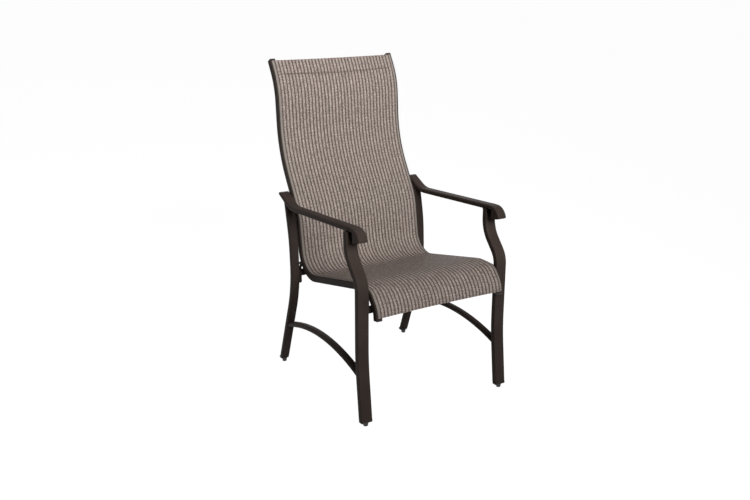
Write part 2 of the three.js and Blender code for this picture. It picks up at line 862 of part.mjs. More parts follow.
// A flat tab that stands on a crossbar and reaches a bolt with a round end
function railTab(legPath, barHeight, bolt) {
  const foot = legPath.atHeight(barHeight).place;
  const reach = foot.distanceTo(bolt);
  const half = tabWidth / 2;
  const end = arcPoints(reach, 0, half, -Math.PI / 2, Math.PI / 2, 2 * cornerSteps);
  const shape = new THREE.Shape([new THREE.Vector2(0, -half), ...end, new THREE.Vector2(0, half)]);
  shape.holes = [new THREE.Path(circle(fixingHole).map((p) => new THREE.Vector2(p.x + reach, p.y)))];
  const depth = fixingEnd - fixingStart;
  const geometry = new THREE.ExtrudeGeometry(shape, { depth, bevelEnabled: false, curveSegments: 1 });
  const along = new THREE.Vector3(0, (bolt.x - foot.x) / reach, (bolt.y - foot.y) / reach);
  const outboard = new THREE.Vector3(1, 0, 0);
  const axes = new THREE.Matrix4().makeBasis(along, outboard.clone().cross(along), outboard);
  geometry.applyMatrix4(axes.setPosition(fixingStart, foot.x, foot.y));
  const seat = sweepAcross(crossbarSection(-seatGap), crossbarPath(), [], new THREE.Vector2(0, 1), foot);
  return solidOf(geometry).subtract(seat);
}

function railFixings() {
  const nutStart = fixingEnd + seatGap;
  const frontTab = railTab(frontLegPath, seatHeight - frontCrossbarDrop, frontBolt);
  const rearTab = railTab(rearLegPath, seatHeight - rearCrossbarDrop, rearBolt);
  addToSides('front_rail_tab', frontTab, legInnerX, paint);
  addToSides('rear_rail_tab', rearTab, legInnerX, paint);
  const spacer = ring(backBolt, fixingStart, fixingEnd, spacerRadius);
  addToSides('back_rail_spacer', spacer, legInnerX, darkPlastic);
  addToSides('front_leg_insert', threadedInsert(frontBolt), legInnerX, zinc);
  addToSides('back_leg_insert', threadedInsert(backBolt), legInnerX, zinc);
  const nut = ring(rearBolt, nutStart, nutStart + nutLength, nutRadius, nutSides);
  addToSides('rear_rail_nut', nut, legInnerX, zinc);
  addToSides('front_rail_bolt', railBolt(frontBolt, boltTail), legInnerX, zinc);
  addToSides('rear_rail_bolt', railBolt(rearBolt, nutStart + nutLength + boltRadius), legInnerX, zinc);
  addToSides('back_rail_bolt', railBolt(backBolt, boltTail), legInnerX, zinc);
}

frontLegs();
rearLegs();
glides();
sideStretchers();
armrests();
armScrolls();
slingRails();
railCaps();
sling();
splineRods();
crossbars();
rearGussets();
spreaders();
railFixings();

export default chair;
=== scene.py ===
import json
import math

import bmesh
import bpy
import numpy as np
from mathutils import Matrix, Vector


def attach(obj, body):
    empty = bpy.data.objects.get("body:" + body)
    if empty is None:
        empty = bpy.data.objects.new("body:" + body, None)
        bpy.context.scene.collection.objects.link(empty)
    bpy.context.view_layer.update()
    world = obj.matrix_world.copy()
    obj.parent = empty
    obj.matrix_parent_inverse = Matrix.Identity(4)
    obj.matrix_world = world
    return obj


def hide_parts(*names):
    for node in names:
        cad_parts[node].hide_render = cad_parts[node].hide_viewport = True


# A sling patio chair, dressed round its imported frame. Lengths are in millimetres, and the scene's in metres.

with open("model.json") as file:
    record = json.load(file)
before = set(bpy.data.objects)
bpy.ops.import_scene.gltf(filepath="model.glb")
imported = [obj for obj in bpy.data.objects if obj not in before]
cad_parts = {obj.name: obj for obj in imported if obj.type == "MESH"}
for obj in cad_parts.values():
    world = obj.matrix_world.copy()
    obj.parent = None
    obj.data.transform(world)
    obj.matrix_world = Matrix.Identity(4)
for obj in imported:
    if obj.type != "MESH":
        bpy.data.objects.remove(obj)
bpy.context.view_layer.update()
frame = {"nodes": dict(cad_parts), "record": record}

MM = 0.001
BODY = "root"
SIDES = {"left": 1, "right": -1}
QUARTER_TURN = math.pi / 2
FULL_TURN = 2 * math.pi

# Overall sizes and fits
OVERALL_WIDTH = 584
OVERALL_DEPTH = 737
OVERALL_HEIGHT = 1118
SEAT_HEIGHT = 446.5
ARM_HEIGHT = 630
SEAT_GAP = 0.3

# Bends of the tubes in the side plane: corners, as shares of the overall depth and of a height, and radii
FRONT_LEG_SHARES = [(-0.447, 0), (-0.421, 0.3421), (-0.4305, 0.7598), (-0.3377, 0.8911), (-0.3396, 1.0476)]
FRONT_LEG_BENDS = [900, 75, 106]
REAR_LEG_SHARES = [(0.4057, 0), (0.2305, 0.5232), (0.237, 0.8021), (0.2807, 1.0635)]
REAR_LEG_BENDS = [467, 540]
ARM_SHARES = [(-0.3825, 1.0238), (0.2117, 0.9886), (0.3433, 1.0675)]
ARM_BENDS = [110]
SEAT_RAIL_SHARES = [(-0.4836, 0.813), (-0.4798, 0.8916), (-0.4301, 0.9922), (-0.3297, 1), (0.2034, 0.8266)]
BACK_RAIL_SHARES = [(0.2456, 0.2192), (0.4073, 0.5269), (0.4205, 0.8639), (0.4864, 0.992)]
RAIL_BENDS = [72, 38, 138, 88, 209, 401, 224]
ARM_JOINT_SHARE = -0.3555
ARM_TAIL_SHARE = 0.3216

# Leg tubes
FRONT_LEG_WIDTH = 41
FRONT_LEG_DEPTH = 21.3
REAR_LEG_WIDTH = 30
REAR_LEG_DEPTH = 18
LEG_CORNER = 3.5
LEG_INNER_X = OVERALL_WIDTH / 2 - FRONT_LEG_WIDTH
FRONT_LEG_X = LEG_INNER_X + FRONT_LEG_WIDTH / 2
REAR_LEG_X = LEG_INNER_X + REAR_LEG_WIDTH / 2

# Foot glides
NUB_HEIGHT = 13
NUB_RADIUS = 8
NUB_EDGE = 1.5
NUB_ROOT_RADIUS = 10.5
NUB_FLARE_POWER = 1.6
FLANGE_THICKNESS = 3
FLANGE_EDGE = 1
FLANGE_CORNER_SHARE = 0.5
FOOT_HEIGHT = NUB_HEIGHT + FLANGE_THICKNESS

# Side stretchers
STRETCHER_WIDTH = 26
STRETCHER_THICKNESS = 19
STRETCHER_FRONT_HEIGHT = 158.5
STRETCHER_REAR_HEIGHT = 165
STRETCHER_RISE = 51

# Armrests and their scrolls
ARM_WIDTH = 35
ARM_THICKNESS = 17
ARM_EDGE = 6
ARM_WALL = 2
ARM_OVERLAP = 4
ARM_X = LEG_INNER_X + ARM_WIDTH / 2
ARM_JOINT_Y = ARM_JOINT_SHARE * OVERALL_DEPTH
TAIL_Y = ARM_TAIL_SHARE * OVERALL_DEPTH
TAIL_HEIGHT = ARM_HEIGHT + 36
TAIL_RECESS = 8
TAIL_BORE = 3 * ARM_THICKNESS
SCROLL_LEAD = 21
SCROLL_RADIUS = 46
SCROLL_BROW_END = math.radians(160)
SCROLL_TIP_DROP = 39.5
SCROLL_TIP_SETBACK = 2.5
SCROLL_HEEL_DROP = 49.5
SCROLL_HEEL_SETBACK = 20.5
SCROLL_EDGE = 4.5
MITRE_LIMIT = 1.4
SHORTEST_NORMAL = 0.3

# Sling rails and their caps
RAIL_WIDTH = 21
RAIL_DEPTH = 23
RAIL_CORNER = 2.5
RAIL_GAP = 3
RAIL_X = LEG_INNER_X - RAIL_GAP - RAIL_WIDTH / 2
RAIL_INNER_X = RAIL_X - RAIL_WIDTH / 2
GROOVE_INSET = 5
GROOVE_LIP = 2
GROOVE_HALF_SLOT = 1.2
GROOVE_RADIUS = 3.3
GROOVE_OFFSET = RAIL_WIDTH / 2 - GROOVE_INSET - GROOVE_HALF_SLOT
GROOVE_LEVEL = RAIL_DEPTH / 2 - GROOVE_LIP - math.sqrt(GROOVE_RADIUS ** 2 - GROOVE_HALF_SLOT ** 2)
CAP_THICKNESS = 4.5
CAP_EDGE = 1.6

# Crossbars and spreaders
CROSSBAR_DEPTH = 15
CROSSBAR_HEIGHT = 25
FRONT_CROSSBAR_DROP = 57
REAR_CROSSBAR_DROP = 66.5
SPREADER_RADIUS = 9.5
SPREADER_END_RUN = 40
SPREADER_RAMP = 70
SPREADER_BOW = 24
SPREADER_BEND = 60
BACK_SPREADER_DROP = 133

# Weld beads: their radii, and the ripple and fineness of all
STRETCHER_BEAD = 1.7
CROSSBAR_BEAD = 1.6
SPREADER_BEAD = 1.5
LEG_TOP_BEAD = 1.4
LEG_TOP_MARGIN = 1
RIPPLE_SHARE = 0.12
RIPPLE_PITCH = 2.6
BEAD_SPACING = 0.8
FEWEST_BEAD_RINGS = 36
BEAD_SIDES = 10

# Sling, its hems and its edge in the groove
SLING_THICKNESS = 1.2
SLING_SAG = 4
SLING_STRETCH_SHARE = 0.02
SLING_BOTTOM_MARGIN = 6
SLING_TOP_MARGIN = 3.5
SLING_TURN = 1.5
ROD_RADIUS = 2.9
EDGE_STRIP_WIDTH = 7
EDGE_STRIP_FADE = 1.5
HEM_LENGTH = 50
HEM_STEP = 1.2
SEAM_BOW = 5
SEAM_DEPTH = 0.9
SEAM_FURROW = 3
SEAM_LINE = 2.4
SEAM_DARKNESS = 0.7
SEAM_FADE = 6

# Stitches of the top hem
STITCH_PITCH = 4.2
STITCH_REACH = 1.6
STITCH_MARGIN = 4
STITCH_ARCH = 0.35
STITCH_SINK = 0.25
THREAD_RADIUS = 0.42

# Weave of the cloth
STRIPE_PITCH = 13.3
YARNS_PER_STRIPE = 7
PICK_PITCH = 2.625
PICKS_PER_ROW = 4

# Fineness of the meshes
BEND_STEP = math.radians(1.5)
ARCH_STATIONS = 65
CLOSEST_STATIONS = 0.5
LEG_SPACING = 25
ARM_SPACING = 20
RAIL_SPACING = 25
BAR_SPACING = 30
SCROLL_SPACING = 4
CLOTH_SPACING = 4
CLOTH_COLUMNS = 61
SETTLING_ROUNDS = 1500
CUT_MARGIN = 0.01
SAME_PLACE = 1e-6
MERGE_REACH = 0.001
SLIVER = 0.0001
NODE_MERGE_REACH = 0.005
SHARP_ANGLE = 38
CLOTH_SHARP_ANGLE = 50

# Colours of the finishes, and the dark colours of painted shade in the weave's hollows and the thread's
# grooves
BRONZE = (0.042, 0.031, 0.0265, 1)
BLACK_PLASTIC = (0.012, 0.011, 0.0105, 1)
BLACK_ZINC = (0.045, 0.043, 0.042, 1)
LIGHT_YARNS = [(0.45, 0.392, 0.356, 1), (0.488, 0.416, 0.379, 1)]
DARK_YARNS = [(0.063, 0.043, 0.036, 1), (0.079, 0.054, 0.045, 1)]
CROSSWISE_YARN = (0.14, 0.104, 0.085, 1)
# Painted shade: the dark colour mixed into the hollows between the yarns
WEAVE_HOLLOW_SHADE = (0.03, 0.022, 0.018, 1)
EDGE_STRIP = (0.218, 0.192, 0.172, 1)
SEAM = (0.05, 0.034, 0.028, 1)
# Painted shade: the darker of the two colours goes in the grooves of the thread's twist
THREAD_TONES_AND_GROOVE_SHADE = [(0.024, 0.018, 0.015, 1), (0.055, 0.041, 0.034, 1)]

# Floor, light and camera, whose focal length and middle are in the photograph's pixels
FLOOR_REACH = 80000
FLOOR_GREY = (0.18, 0.18, 0.18, 1)
WHITE = (1, 1, 1, 1)
FLOOR_GLOW = 0.955
WORLD_LIGHT = 0.14
PHOTO_WIDTH = 750
PHOTO_HEIGHT = 500
FOCAL_PIXELS = 911.4
MIDDLE_PIXEL = (412.8, 249.5)
SENSOR_WIDTH = 36
CAMERA_PLACE = (-1.593, -2.648, 1.388)
CAMERA_TILT = 73.42
CAMERA_TURN = -32.94


# Paths in the side plane

def travelled_along(points):
    """Distance travelled at each point of a line."""
    steps = np.linalg.norm(np.diff(points, axis=0), axis=1)
    return np.concatenate([[0], np.cumsum(steps)])


def normals_to(directions):
    """Unit vectors a quarter turn from directions, on a path towards the side that the sitter sees."""
    return np.stack([-directions[:, 1], directions[:, 0]], -1)


class Path:
    """A line in the side plane: places (y, z), unit directions and distances travelled at its stations."""

    def __init__(self, places, directions):
        self.places = np.asarray(places, float)
        self.directions = np.asarray(directions, float)
        self.travelled = travelled_along(self.places)
        self.length = self.travelled[-1]

    def at(self, distances):
        """Places and directions at distances along the path, straight between stations."""
        d = np.atleast_1d(distances)
        places, directions = (
            np.stack([np.interp(d, self.travelled, column) for column in values.T], -1)
            for values in (self.places, self.directions))
        return places, directions / np.linalg.norm(directions, axis=1, keepdims=True)

    def distance_at_height(self, height):
        """Distance along a path that climbs, at a height."""
        climbing = np.maximum.accumulate(self.places[:, 1])
        return float(np.interp(height, climbing, self.travelled))

    def y_at_height(self, heights):
        """The path's y at heights, for a path that climbs all the way."""
        return np.interp(heights, self.places[:, 1], self.places[:, 0])

    def stations(self, start, end, spacing):
        """Distances from start to end, with the path's own stations and none further apart than spacing."""
        own = (self.travelled > start + CLOSEST_STATIONS) & (self.travelled < end - CLOSEST_STATIONS)
        marks = np.concatenate([[start], self.travelled[own], [end]])
        runs = []
        for a, b in zip(marks, marks[1:]):
            runs.append(np.linspace(a, b, max(2, math.ceil((b - a) / spacing) + 1))[:-1])
        return np.concatenate([*runs, [end]])


def bent_path(corners, radii):
    """Straight runs between corners, with a round bend in each inner one. A bend of radius r and turn t
    starts r tan(t / 2) before its corner, or as far off as its run has room."""
    points = np.asarray(corners, float)
    runs = np.diff(points, axis=0)
    lengths = np.hypot(*runs.T)
    units = runs / lengths[:, None]
    places, directions = [points[:1]], [units[:1]]
    for i, radius in enumerate(radii):
        before, after = units[i], units[i + 1]
        turn = math.atan2(before[0] * after[1] - before[1] * after[0], before @ after)
        room = min(lengths[i] / (2 if i else 1), lengths[i + 1] / (2 if i < len(radii) - 1 else 1))
        reach = min(radius * math.tan(abs(turn) / 2), room)
        bend = reach / math.tan(abs(turn) / 2)
        side = np.array([-before[1], before[0]]) * math.copysign(1, turn)
        angles = np.linspace(0, abs(turn), math.ceil(abs(turn) / BEND_STEP) + 1)[:, None]
        start = points[i + 1] - before * reach
        places.append(start + bend * (np.sin(angles) * before + (1 - np.cos(angles)) * side))
        directions.append(np.cos(angles) * before + np.sin(angles) * side)
    return Path(np.concatenate([*places, points[-1:]]), np.concatenate([*directions, units[-1:]]))


def arch_path(start, end, rise):
    """A round arch that rises above the line between two points. Its radius is half that line, squared, plus
    the rise, squared, over twice the rise."""
    start, end = np.asarray(start, float), np.asarray(end, float)
    chord = end - start
    half = np.hypot(*chord) / 2
    radius = (half ** 2 + rise ** 2) / (2 * rise)
    along = chord / (2 * half)
    up = np.array([-along[1], along[0]])
    centre = (start + end) / 2 + up * (rise - radius)
    angles = np.linspace(-1, 1, ARCH_STATIONS)[:, None] * math.asin(half / radius)
    places = centre + radius * (np.sin(angles) * along + np.cos(angles) * up)
    return Path(places, np.cos(angles) * along - np.sin(angles) * up)


def scaled(shares, height, base=0):
    return [(y * OVERALL_DEPTH, base + z * height) for y, z in shares]


front_leg_path = bent_path(scaled(FRONT_LEG_SHARES, ARM_HEIGHT), FRONT_LEG_BENDS)
rear_leg_path = bent_path(scaled(REAR_LEG_SHARES, ARM_HEIGHT), REAR_LEG_BENDS)
arm_path = bent_path(scaled(ARM_SHARES, ARM_HEIGHT), ARM_BENDS)
rail_corners = scaled(SEAT_RAIL_SHARES, SEAT_HEIGHT)
rail_corners += scaled(BACK_RAIL_SHARES, OVERALL_HEIGHT - SEAT_HEIGHT, SEAT_HEIGHT)
rail_path = bent_path(rail_corners, RAIL_BENDS)

# Each pair of legs: its name, path, width, depth and place across the chair
LEGS = [
    ("front", front_leg_path, FRONT_LEG_WIDTH, FRONT_LEG_DEPTH, FRONT_LEG_X),
    ("rear", rear_leg_path, REAR_LEG_WIDTH, REAR_LEG_DEPTH, REAR_LEG_X),
]


# Outlines: x runs outboard, y runs to the side of a path that the sitter sees

def arc(x, y, radius, start, end, steps):
    """Points on a circle between two angles, both ends included."""
    angles = np.linspace(start, end, steps + 1)
    return np.stack([x + radius * np.cos(angles), y + radius * np.sin(angles)], -1)


def quarter_circle(x, y, radius, k, steps):
    """The k-th quarter of a circle, counted from its outboard point."""
    return arc(x, y, radius, k * QUARTER_TURN, (k + 1) * QUARTER_TURN, steps)


def circle(radius, sides):
    """Points round a whole circle, the first one not repeated."""
    return arc(0, 0, radius, 0, FULL_TURN, sides)[:-1]


def rounded_rectangle(width, depth, radius, steps=7, side_steps=1):
    """A rectangle with a quarter circle in each corner, its sides divided into side_steps."""
    r = min(radius, width / 2, depth / 2)
    x, y = width / 2 - r, depth / 2 - r
    centres = [(x, y), (-x, y), (-x, -y), (x, -y)]
    quarters = [quarter_circle(*centre, r, k, steps) for k, centre in enumerate(centres)]
    outline = []
    for quarter, following in zip(quarters, quarters[1:] + quarters[:1]):
        outline += [quarter, np.linspace(quarter[-1], following[0], side_steps + 1)[1:-1]]
    points = np.concatenate(outline)
    apart = np.hypot(*(points - np.roll(points, 1, axis=0)).T) > SAME_PLACE
    return points[apart]


def round_over(radius, steps):
    """A quarter circle over an edge, in pairs of depth and inset: (0, radius) at the face to (radius, 0)."""
    turns = np.linspace(QUARTER_TURN, 0, steps + 1)
    return [(radius * (1 - math.sin(t)), radius * (1 - math.cos(t))) for t in turns]


def even_outline(points, spacing):
    """Points about spacing apart along a closed outline, with its corners kept."""
    marks = []
    for a, b in zip(points, np.roll(points, -1, axis=0)):
        steps = max(1, math.ceil(np.hypot(*(b - a)) / spacing))
        marks.append(np.linspace(0, 1, steps + 1)[:-1, None] * (b - a) + a)
    return np.concatenate(marks)


def drawn_in(outline, inset):
    """A closed outline drawn in by an inset. Each point moves along the sum of its two sides' unit normals,
    s long, by 2 / s insets, so that both sides move by an inset, up to the mitre's limit."""
    before, after = outline - np.roll(outline, 1, axis=0), np.roll(outline, -1, axis=0) - outline
    before /= np.hypot(*before.T)[:, None]
    after /= np.hypot(*after.T)[:, None]
    normals = normals_to(before + after)
    lengths = np.maximum(np.hypot(*normals.T)[:, None], SHORTEST_NORMAL)
    area = (outline[:, 0] * np.roll(outline[:, 1], -1) - outline[:, 1] * np.roll(outline[:, 0], -1)).sum()
    widen = np.minimum(2 / lengths, MITRE_LIMIT)
    return outline + normals / lengths * inset * widen * math.copysign(1, area)


def beside(path, distance):
    """Points beside a path's stations, towards the side that the sitter sees."""
    return path.places + normals_to(path.directions) * distance


def swept(outline, path, distances):
    """Rings of an outline carried along a path: x stays, y follows the path's side that the sitter sees."""
    places, directions = path.at(distances)
    grid = np.empty((len(places), len(outline), 3))
    grid[..., 0] = outline[None, :, 0]
    grid[..., 1:] = places[:, None] + normals_to(directions)[:, None] * outline[None, :, 1, None]
    return grid


def swept_across(outline, path, direction, place):
    """Rings of an outline along a path that runs across the chair and bows in the side plane."""
    grid = swept(outline, path, path.stations(0, path.length, BAR_SPACING))
    direction = np.asarray(direction, float)
    turned = np.empty_like(grid)
    turned[..., 0] = grid[..., 1]
    sideways = normals_to(direction[None])
    turned[..., 1:] = grid[..., 2, None] * direction + grid[..., 0, None] * sideways + place
    return turned


def lathed(profile, centre, sides=40):
    """Rings of a profile of (radius, height) about a vertical line."""
    profile = np.asarray(profile, float)
    grid = np.empty((len(profile), sides, 3))
    grid[..., :2] = profile[:, None, :1] * circle(1, sides)[None] + centre
    grid[..., 2] = profile[:, 1, None]
    return grid


def grid_sample(grid, rank, column):
    """Points between a grid's points, straight between neighbours."""
    r0 = np.clip(np.floor(rank).astype(int), 0, grid.shape[0] - 2)
    c0 = np.clip(np.floor(column).astype(int), 0, grid.shape[1] - 2)
    fr, fc = (rank - r0)[..., None], (column - c0)[..., None]
    low = grid[r0, c0] * (1 - fc) + grid[r0, c0 + 1] * fc
    high = grid[r0 + 1, c0] * (1 - fc) + grid[r0 + 1, c0 + 1] * fc
    return low * (1 - fr) + high * fr


# Meshes from grids of points

def grid_faces(rows, columns, wrap_columns=False, wrap_rows=False):
    """Four-sided faces over a grid of points, row by row."""
    r = np.arange(rows if wrap_rows else rows - 1)[:, None]
    c = np.arange(columns if wrap_columns else columns - 1)[None]
    r2, c2 = (r + 1) % rows, (c + 1) % columns
    faces = np.stack([r * columns + c, r * columns + c2, r2 * columns + c2, r2 * columns + c], -1)
    return faces.reshape(-1, 4)


def outward(points, faces):
    """The faces, all turned round if they enclose a negative volume."""
    a, b, c, d = (points[faces[:, k]] for k in range(4))
    volume = (a * (np.cross(b, c) + np.cross(c, d))).sum()
    return faces if volume > 0 else faces[:, ::-1]


def bead_rings(ring, lean, radius):
    """A weld bead round a joint: a small circle carried round the ring, its radius rippled by the sine of
    the distance travelled."""
    closed = np.concatenate([ring, ring[:1]])
    travelled = travelled_along(closed)
    count = max(FEWEST_BEAD_RINGS, int(travelled[-1] / BEAD_SPACING))
    marks = np.linspace(0, travelled[-1], count, endpoint=False)
    line = np.stack([np.interp(marks, travelled, column) for column in closed.T], -1)
    tangent = np.roll(line, -1, axis=0) - np.roll(line, 1, axis=0)
    tangent /= np.linalg.norm(tangent, axis=1, keepdims=True)
    lean = np.broadcast_to(lean, line.shape)
    out = np.cross(tangent, lean)
    out /= np.linalg.norm(out, axis=1, keepdims=True)
    size = radius * (1 + RIPPLE_SHARE * np.sin(FULL_TURN * marks / RIPPLE_PITCH))[:, None, None]
    section = circle(1, BEAD_SIDES)
    return line[:, None] + size * (section[:, :1] * out[:, None] + section[:, 1:] * lean[:, None])


class Form:
    """Points and faces of one piece, gathered from several closed bodies."""

    def __init__(self, points=(), faces=()):
        self.points, self.faces = list(points), list(faces)

    def add(self, points, faces):
        count = sum(len(earlier) for earlier in self.points)
        self.points.append(points)
        self.faces.append(outward(points, faces) + count)
        return self

    def add_tube(self, grid):
        """Adds a tube of rings, its ends drawn in to their middles by a ring of four-sided faces."""
        rows, columns = grid.shape[:2]
        first, last = (np.repeat(ring.mean(0)[None, None], columns, 1) for ring in (grid[0], grid[-1]))
        rings = np.concatenate([first, grid, last])
        return self.add(rings.reshape(-1, 3), grid_faces(rows + 2, columns, wrap_columns=True))

    def add_bead(self, ring, lean, radius):
        """Adds a weld bead that closes on itself."""
        grid = bead_rings(ring, lean, radius)
        faces = grid_faces(*grid.shape[:2], wrap_columns=True, wrap_rows=True)
        return self.add(grid.reshape(-1, 3), faces)

    def placed(self, x, sign):
        """The same form moved outboard by x, then mirrored where sign is -1."""
        points = [(body + [x, 0, 0]) * [sign, 1, 1] for body in self.points]
        return Form(points, [faces[:, ::sign] for faces in self.faces])


def tube(grid):
    return Form().add_tube(grid)


def end_beads(grid, inward, radius):
    """Beads round both ends of a tube of rings; inward points into the tube at its first end."""
    inward = np.asarray(inward, float)
    return Form().add_bead(grid[0], inward, radius).add_bead(grid[-1], -inward, radius)


def new_object(name, data):
    made = bpy.data.objects.new(name, data)
    bpy.context.scene.collection.objects.link(made)
    return made


def new_mesh(name, points, faces):
    mesh = bpy.data.meshes.new(name)
    mesh.from_pydata((np.asarray(points) * MM).tolist(), [], faces)
    mesh.update()
    return mesh


def finished_piece(mesh, slot, replaces=(), material=None, sharp_angle=SHARP_ANGLE):
    """A mesh made a piece: smooth but for its edges, riding on the chair, in place of the named nodes."""
    mesh.polygons.foreach_set("use_smooth", np.ones(len(mesh.polygons), bool))
    mesh.set_sharp_from_angle(angle=math.radians(sharp_angle))
    mesh.materials.append(material or FINISHES[slot])
    piece = new_object(mesh.name, mesh)
    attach(piece, BODY)
    if replaces:
        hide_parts(*replaces)
    return piece


def make_piece(name, form, slot, replaces=(), material=None):
    """Puts a form into a mesh, joins points that lie together, which closes its poles, and finishes it."""
    mesh = new_mesh(name, np.concatenate(form.points), np.concatenate(form.faces).tolist())
    work = bmesh.new()
    work.from_mesh(mesh)
    bmesh.ops.remove_doubles(work, verts=work.verts, dist=MERGE_REACH * MM)
    bmesh.ops.dissolve_degenerate(work, edges=work.edges, dist=SLIVER * MM)
    work.to_mesh(mesh)
    work.free()
    return finished_piece(mesh, slot, replaces, material)


def both_sides(name, form, slot, x):
    """Makes a form, drawn about x = 0 and facing outboard, on both sides of the chair."""
    for side, sign in SIDES.items():
        make_piece(f"{side}_{name}_form", form.placed(x, sign), slot, [f"{side}_{name}"])


def beads_on_both_sides(name, form, x):
    """Beads ride on the chair but stand for no node."""
    for side, sign in SIDES.items():
        make_piece(f"{side}_{name}", form.placed(x, sign), "frame")


def flat_ended_on_both_sides(name, grid, x):
    """Makes a tube of rings on both sides, its two flat ends each one face, however the outline bends."""
    rows, columns = grid.shape[:2]
    sides = grid_faces(rows, columns, wrap_columns=True)
    first, last = list(range(columns)), list(range((rows - 1) * columns, rows * columns))
    for side, sign in SIDES.items():
        points = ((grid + [x, 0, 0]) * [sign, 1, 1]).reshape(-1, 3)
        turned = outward(points, sides)
        ends = [first[::-1], last] if np.array_equal(turned, sides) else [first, last[::-1]]
        mesh = new_mesh(f"{side}_{name}_form", points, [*turned.tolist(), *ends])
        finished_piece(mesh, "frame", [f"{side}_{name}"])


# Materials

FLOAT, COLOR, VECTOR = "NodeSocketFloat", "NodeSocketColor", "NodeSocketVector"


class Nodes:
    """Short ways to add the nodes of one tree."""

    def __init__(self, tree):
        self.tree = tree

    def add(self, kind, **settings):
        node = self.tree.nodes.new(kind)
        for key, value in settings.items():
            setattr(node, key, value)
        return node

    def put(self, socket, value):
        """Links a node's output to a socket, or sets the socket to a constant."""
        if isinstance(value, bpy.types.NodeSocket):
            self.tree.links.new(value, socket)
        else:
            socket.default_value = value

    def fill(self, node, **values):
        """Puts values into a node's inputs by name, an underscore for each space, and gives its outputs."""
        for label, value in values.items():
            self.put(node.inputs[label.replace("_", " ")], value)
        return node.outputs

    def fill_in_order(self, node, *values):
        for socket, value in zip(node.inputs, values):
            self.put(socket, value)
        return node.outputs[0]

    def group(self, tree, **values):
        return self.fill(self.add("ShaderNodeGroup", node_tree=tree), **values)

    def math(self, operation, *values):
        return self.fill_in_order(self.add("ShaderNodeMath", operation=operation), *values)

    def plus(self, a, b):
        return self.math("ADD", a, b)

    def times(self, a, b):
        return self.math("MULTIPLY", a, b)

    def ramp(self, value, low, high, to_low=0.0, to_high=1.0):
        """A smooth step from to_low, where value is low, to to_high, where it is high."""
        node = self.add("ShaderNodeMapRange", interpolation_type="SMOOTHSTEP")
        return self.fill_in_order(node, value, low, high, to_low, to_high)

    def mix(self, share, a, b):
        """Colour a where the share is nought, b where it is one."""
        node = self.add("ShaderNodeMix", data_type="RGBA")
        self.put(node.inputs["Factor"], share)
        self.put(node.inputs[6], a)
        self.put(node.inputs[7], b)
        return node.outputs[2]

    def scaled(self, vector, factor):
        node = self.add("ShaderNodeVectorMath", operation="SCALE")
        self.put(node.inputs[0], vector)
        self.put(node.inputs["Scale"], factor)
        return node.outputs[0]

    def pair(self, x, y):
        return self.fill_in_order(self.add("ShaderNodeCombineXYZ"), x, y)

    def noise(self, vector, scale, detail=2.0, roughness=0.5):
        node = self.add("ShaderNodeTexNoise")
        return self.fill(node, Vector=vector, Scale=scale, Detail=detail, Roughness=roughness)[0]

    def bump(self, height, distance, strength=1.0):
        """The normal over a height, which stands distance millimetres high where it is one."""
        node = self.add("ShaderNodeBump")
        return self.fill(node, Strength=strength, Distance=distance * MM, Height=height)[0]

    def object_place(self):
        return self.add("ShaderNodeTexCoord").outputs["Object"]


def new_material(name):
    """An empty material: its node helper, its shader and itself."""
    material = bpy.data.materials.new(name)
    material.use_nodes = True
    n = Nodes(material.node_tree)
    n.tree.nodes.clear()
    output = n.add("ShaderNodeOutputMaterial")
    shader = n.add("ShaderNodeBsdfPrincipled")
    n.put(output.inputs["Surface"], shader.outputs[0])
    return n, shader, material


def new_group(name, inputs, outputs):
    """A shader node group with named inputs and outputs, each given with its kind."""
    tree = bpy.data.node_groups.new(name, "ShaderNodeTree")
    for label, kind in inputs.items():
        tree.interface.new_socket(label, in_out="INPUT", socket_type=kind)
    for label, kind in outputs.items():
        tree.interface.new_socket(label, in_out="OUTPUT", socket_type=kind)
    n = Nodes(tree)
    return n, n.add("NodeGroupInput").outputs, n.add("NodeGroupOutput")


def orange_peel_group():
    """Powder coat and moulded skin: pebbles of a few millimetres, finer grain over them that also varies the
    roughness, and a slow drift that scales the colour. Noise scales are per metre."""
    pebble_scale, grain_scale, drift_scale = 420.0, 2600.0, 9.0
    pebble_share, grain_share = 0.75, 0.25
    roughness_spread = 0.14
    inputs = {"Vector": VECTOR, "Color": COLOR, "Drift": FLOAT, "Roughness": FLOAT}
    outputs = {"Color": COLOR, "Roughness": FLOAT, "Height": FLOAT}
    n, given, out = new_group("orange_peel", inputs, outputs)
    pebbles = n.noise(given["Vector"], pebble_scale, 1.0)
    grain = n.noise(given["Vector"], grain_scale, 2.0, 0.6)
    drift = n.ramp(n.noise(given["Vector"], drift_scale, 3.0), 0.3, 0.7, -1.0, 1.0)
    uneven = n.times(n.math("SUBTRACT", grain, 0.5), roughness_spread)
    n.fill(
        out,
        Color=n.scaled(given["Color"], n.plus(1.0, n.times(drift, given["Drift"]))),
        Roughness=n.plus(given["Roughness"], uneven),
        Height=n.plus(n.times(pebbles, pebble_share), n.times(grain, grain_share)))
    return n.tree


def coated(name, skin, colour, roughness, drift, relief):
    """A material with the coated skin, whose relief is in millimetres."""
    n, shader, material = new_material(name)
    given = n.group(skin, Vector=n.object_place(), Color=colour, Drift=drift, Roughness=roughness)
    normal = n.bump(given["Height"], relief)
    n.fill(shader, Base_Color=given["Color"], Roughness=given["Roughness"], Normal=normal)
    return n, shader, material


def powder_coat(skin):
    n, shader, material = coated("bronze_powder_coat", skin, BRONZE, roughness=0.45, drift=0.12, relief=0.04)
    n.fill(shader, Specular_IOR_Level=0.035)
    return material


def moulded_plastic(skin):
    return coated("black_plastic", skin, BLACK_PLASTIC, roughness=0.5, drift=0.2, relief=0.06)[-1]


def zinc_plate(skin):
    n, shader, material = coated("zinc_plate", skin, BLACK_ZINC, roughness=0.45, drift=0.25, relief=0.02)
    n.fill(shader, Metallic=0.9)
    return material


def half_round(n, position):
    """The height across yarns, one at each middle and nought between: the root of |sin(pi position)|."""
    return n.math("POWER", n.math("ABSOLUTE", n.math("SINE", n.times(position, math.pi))), 0.5)


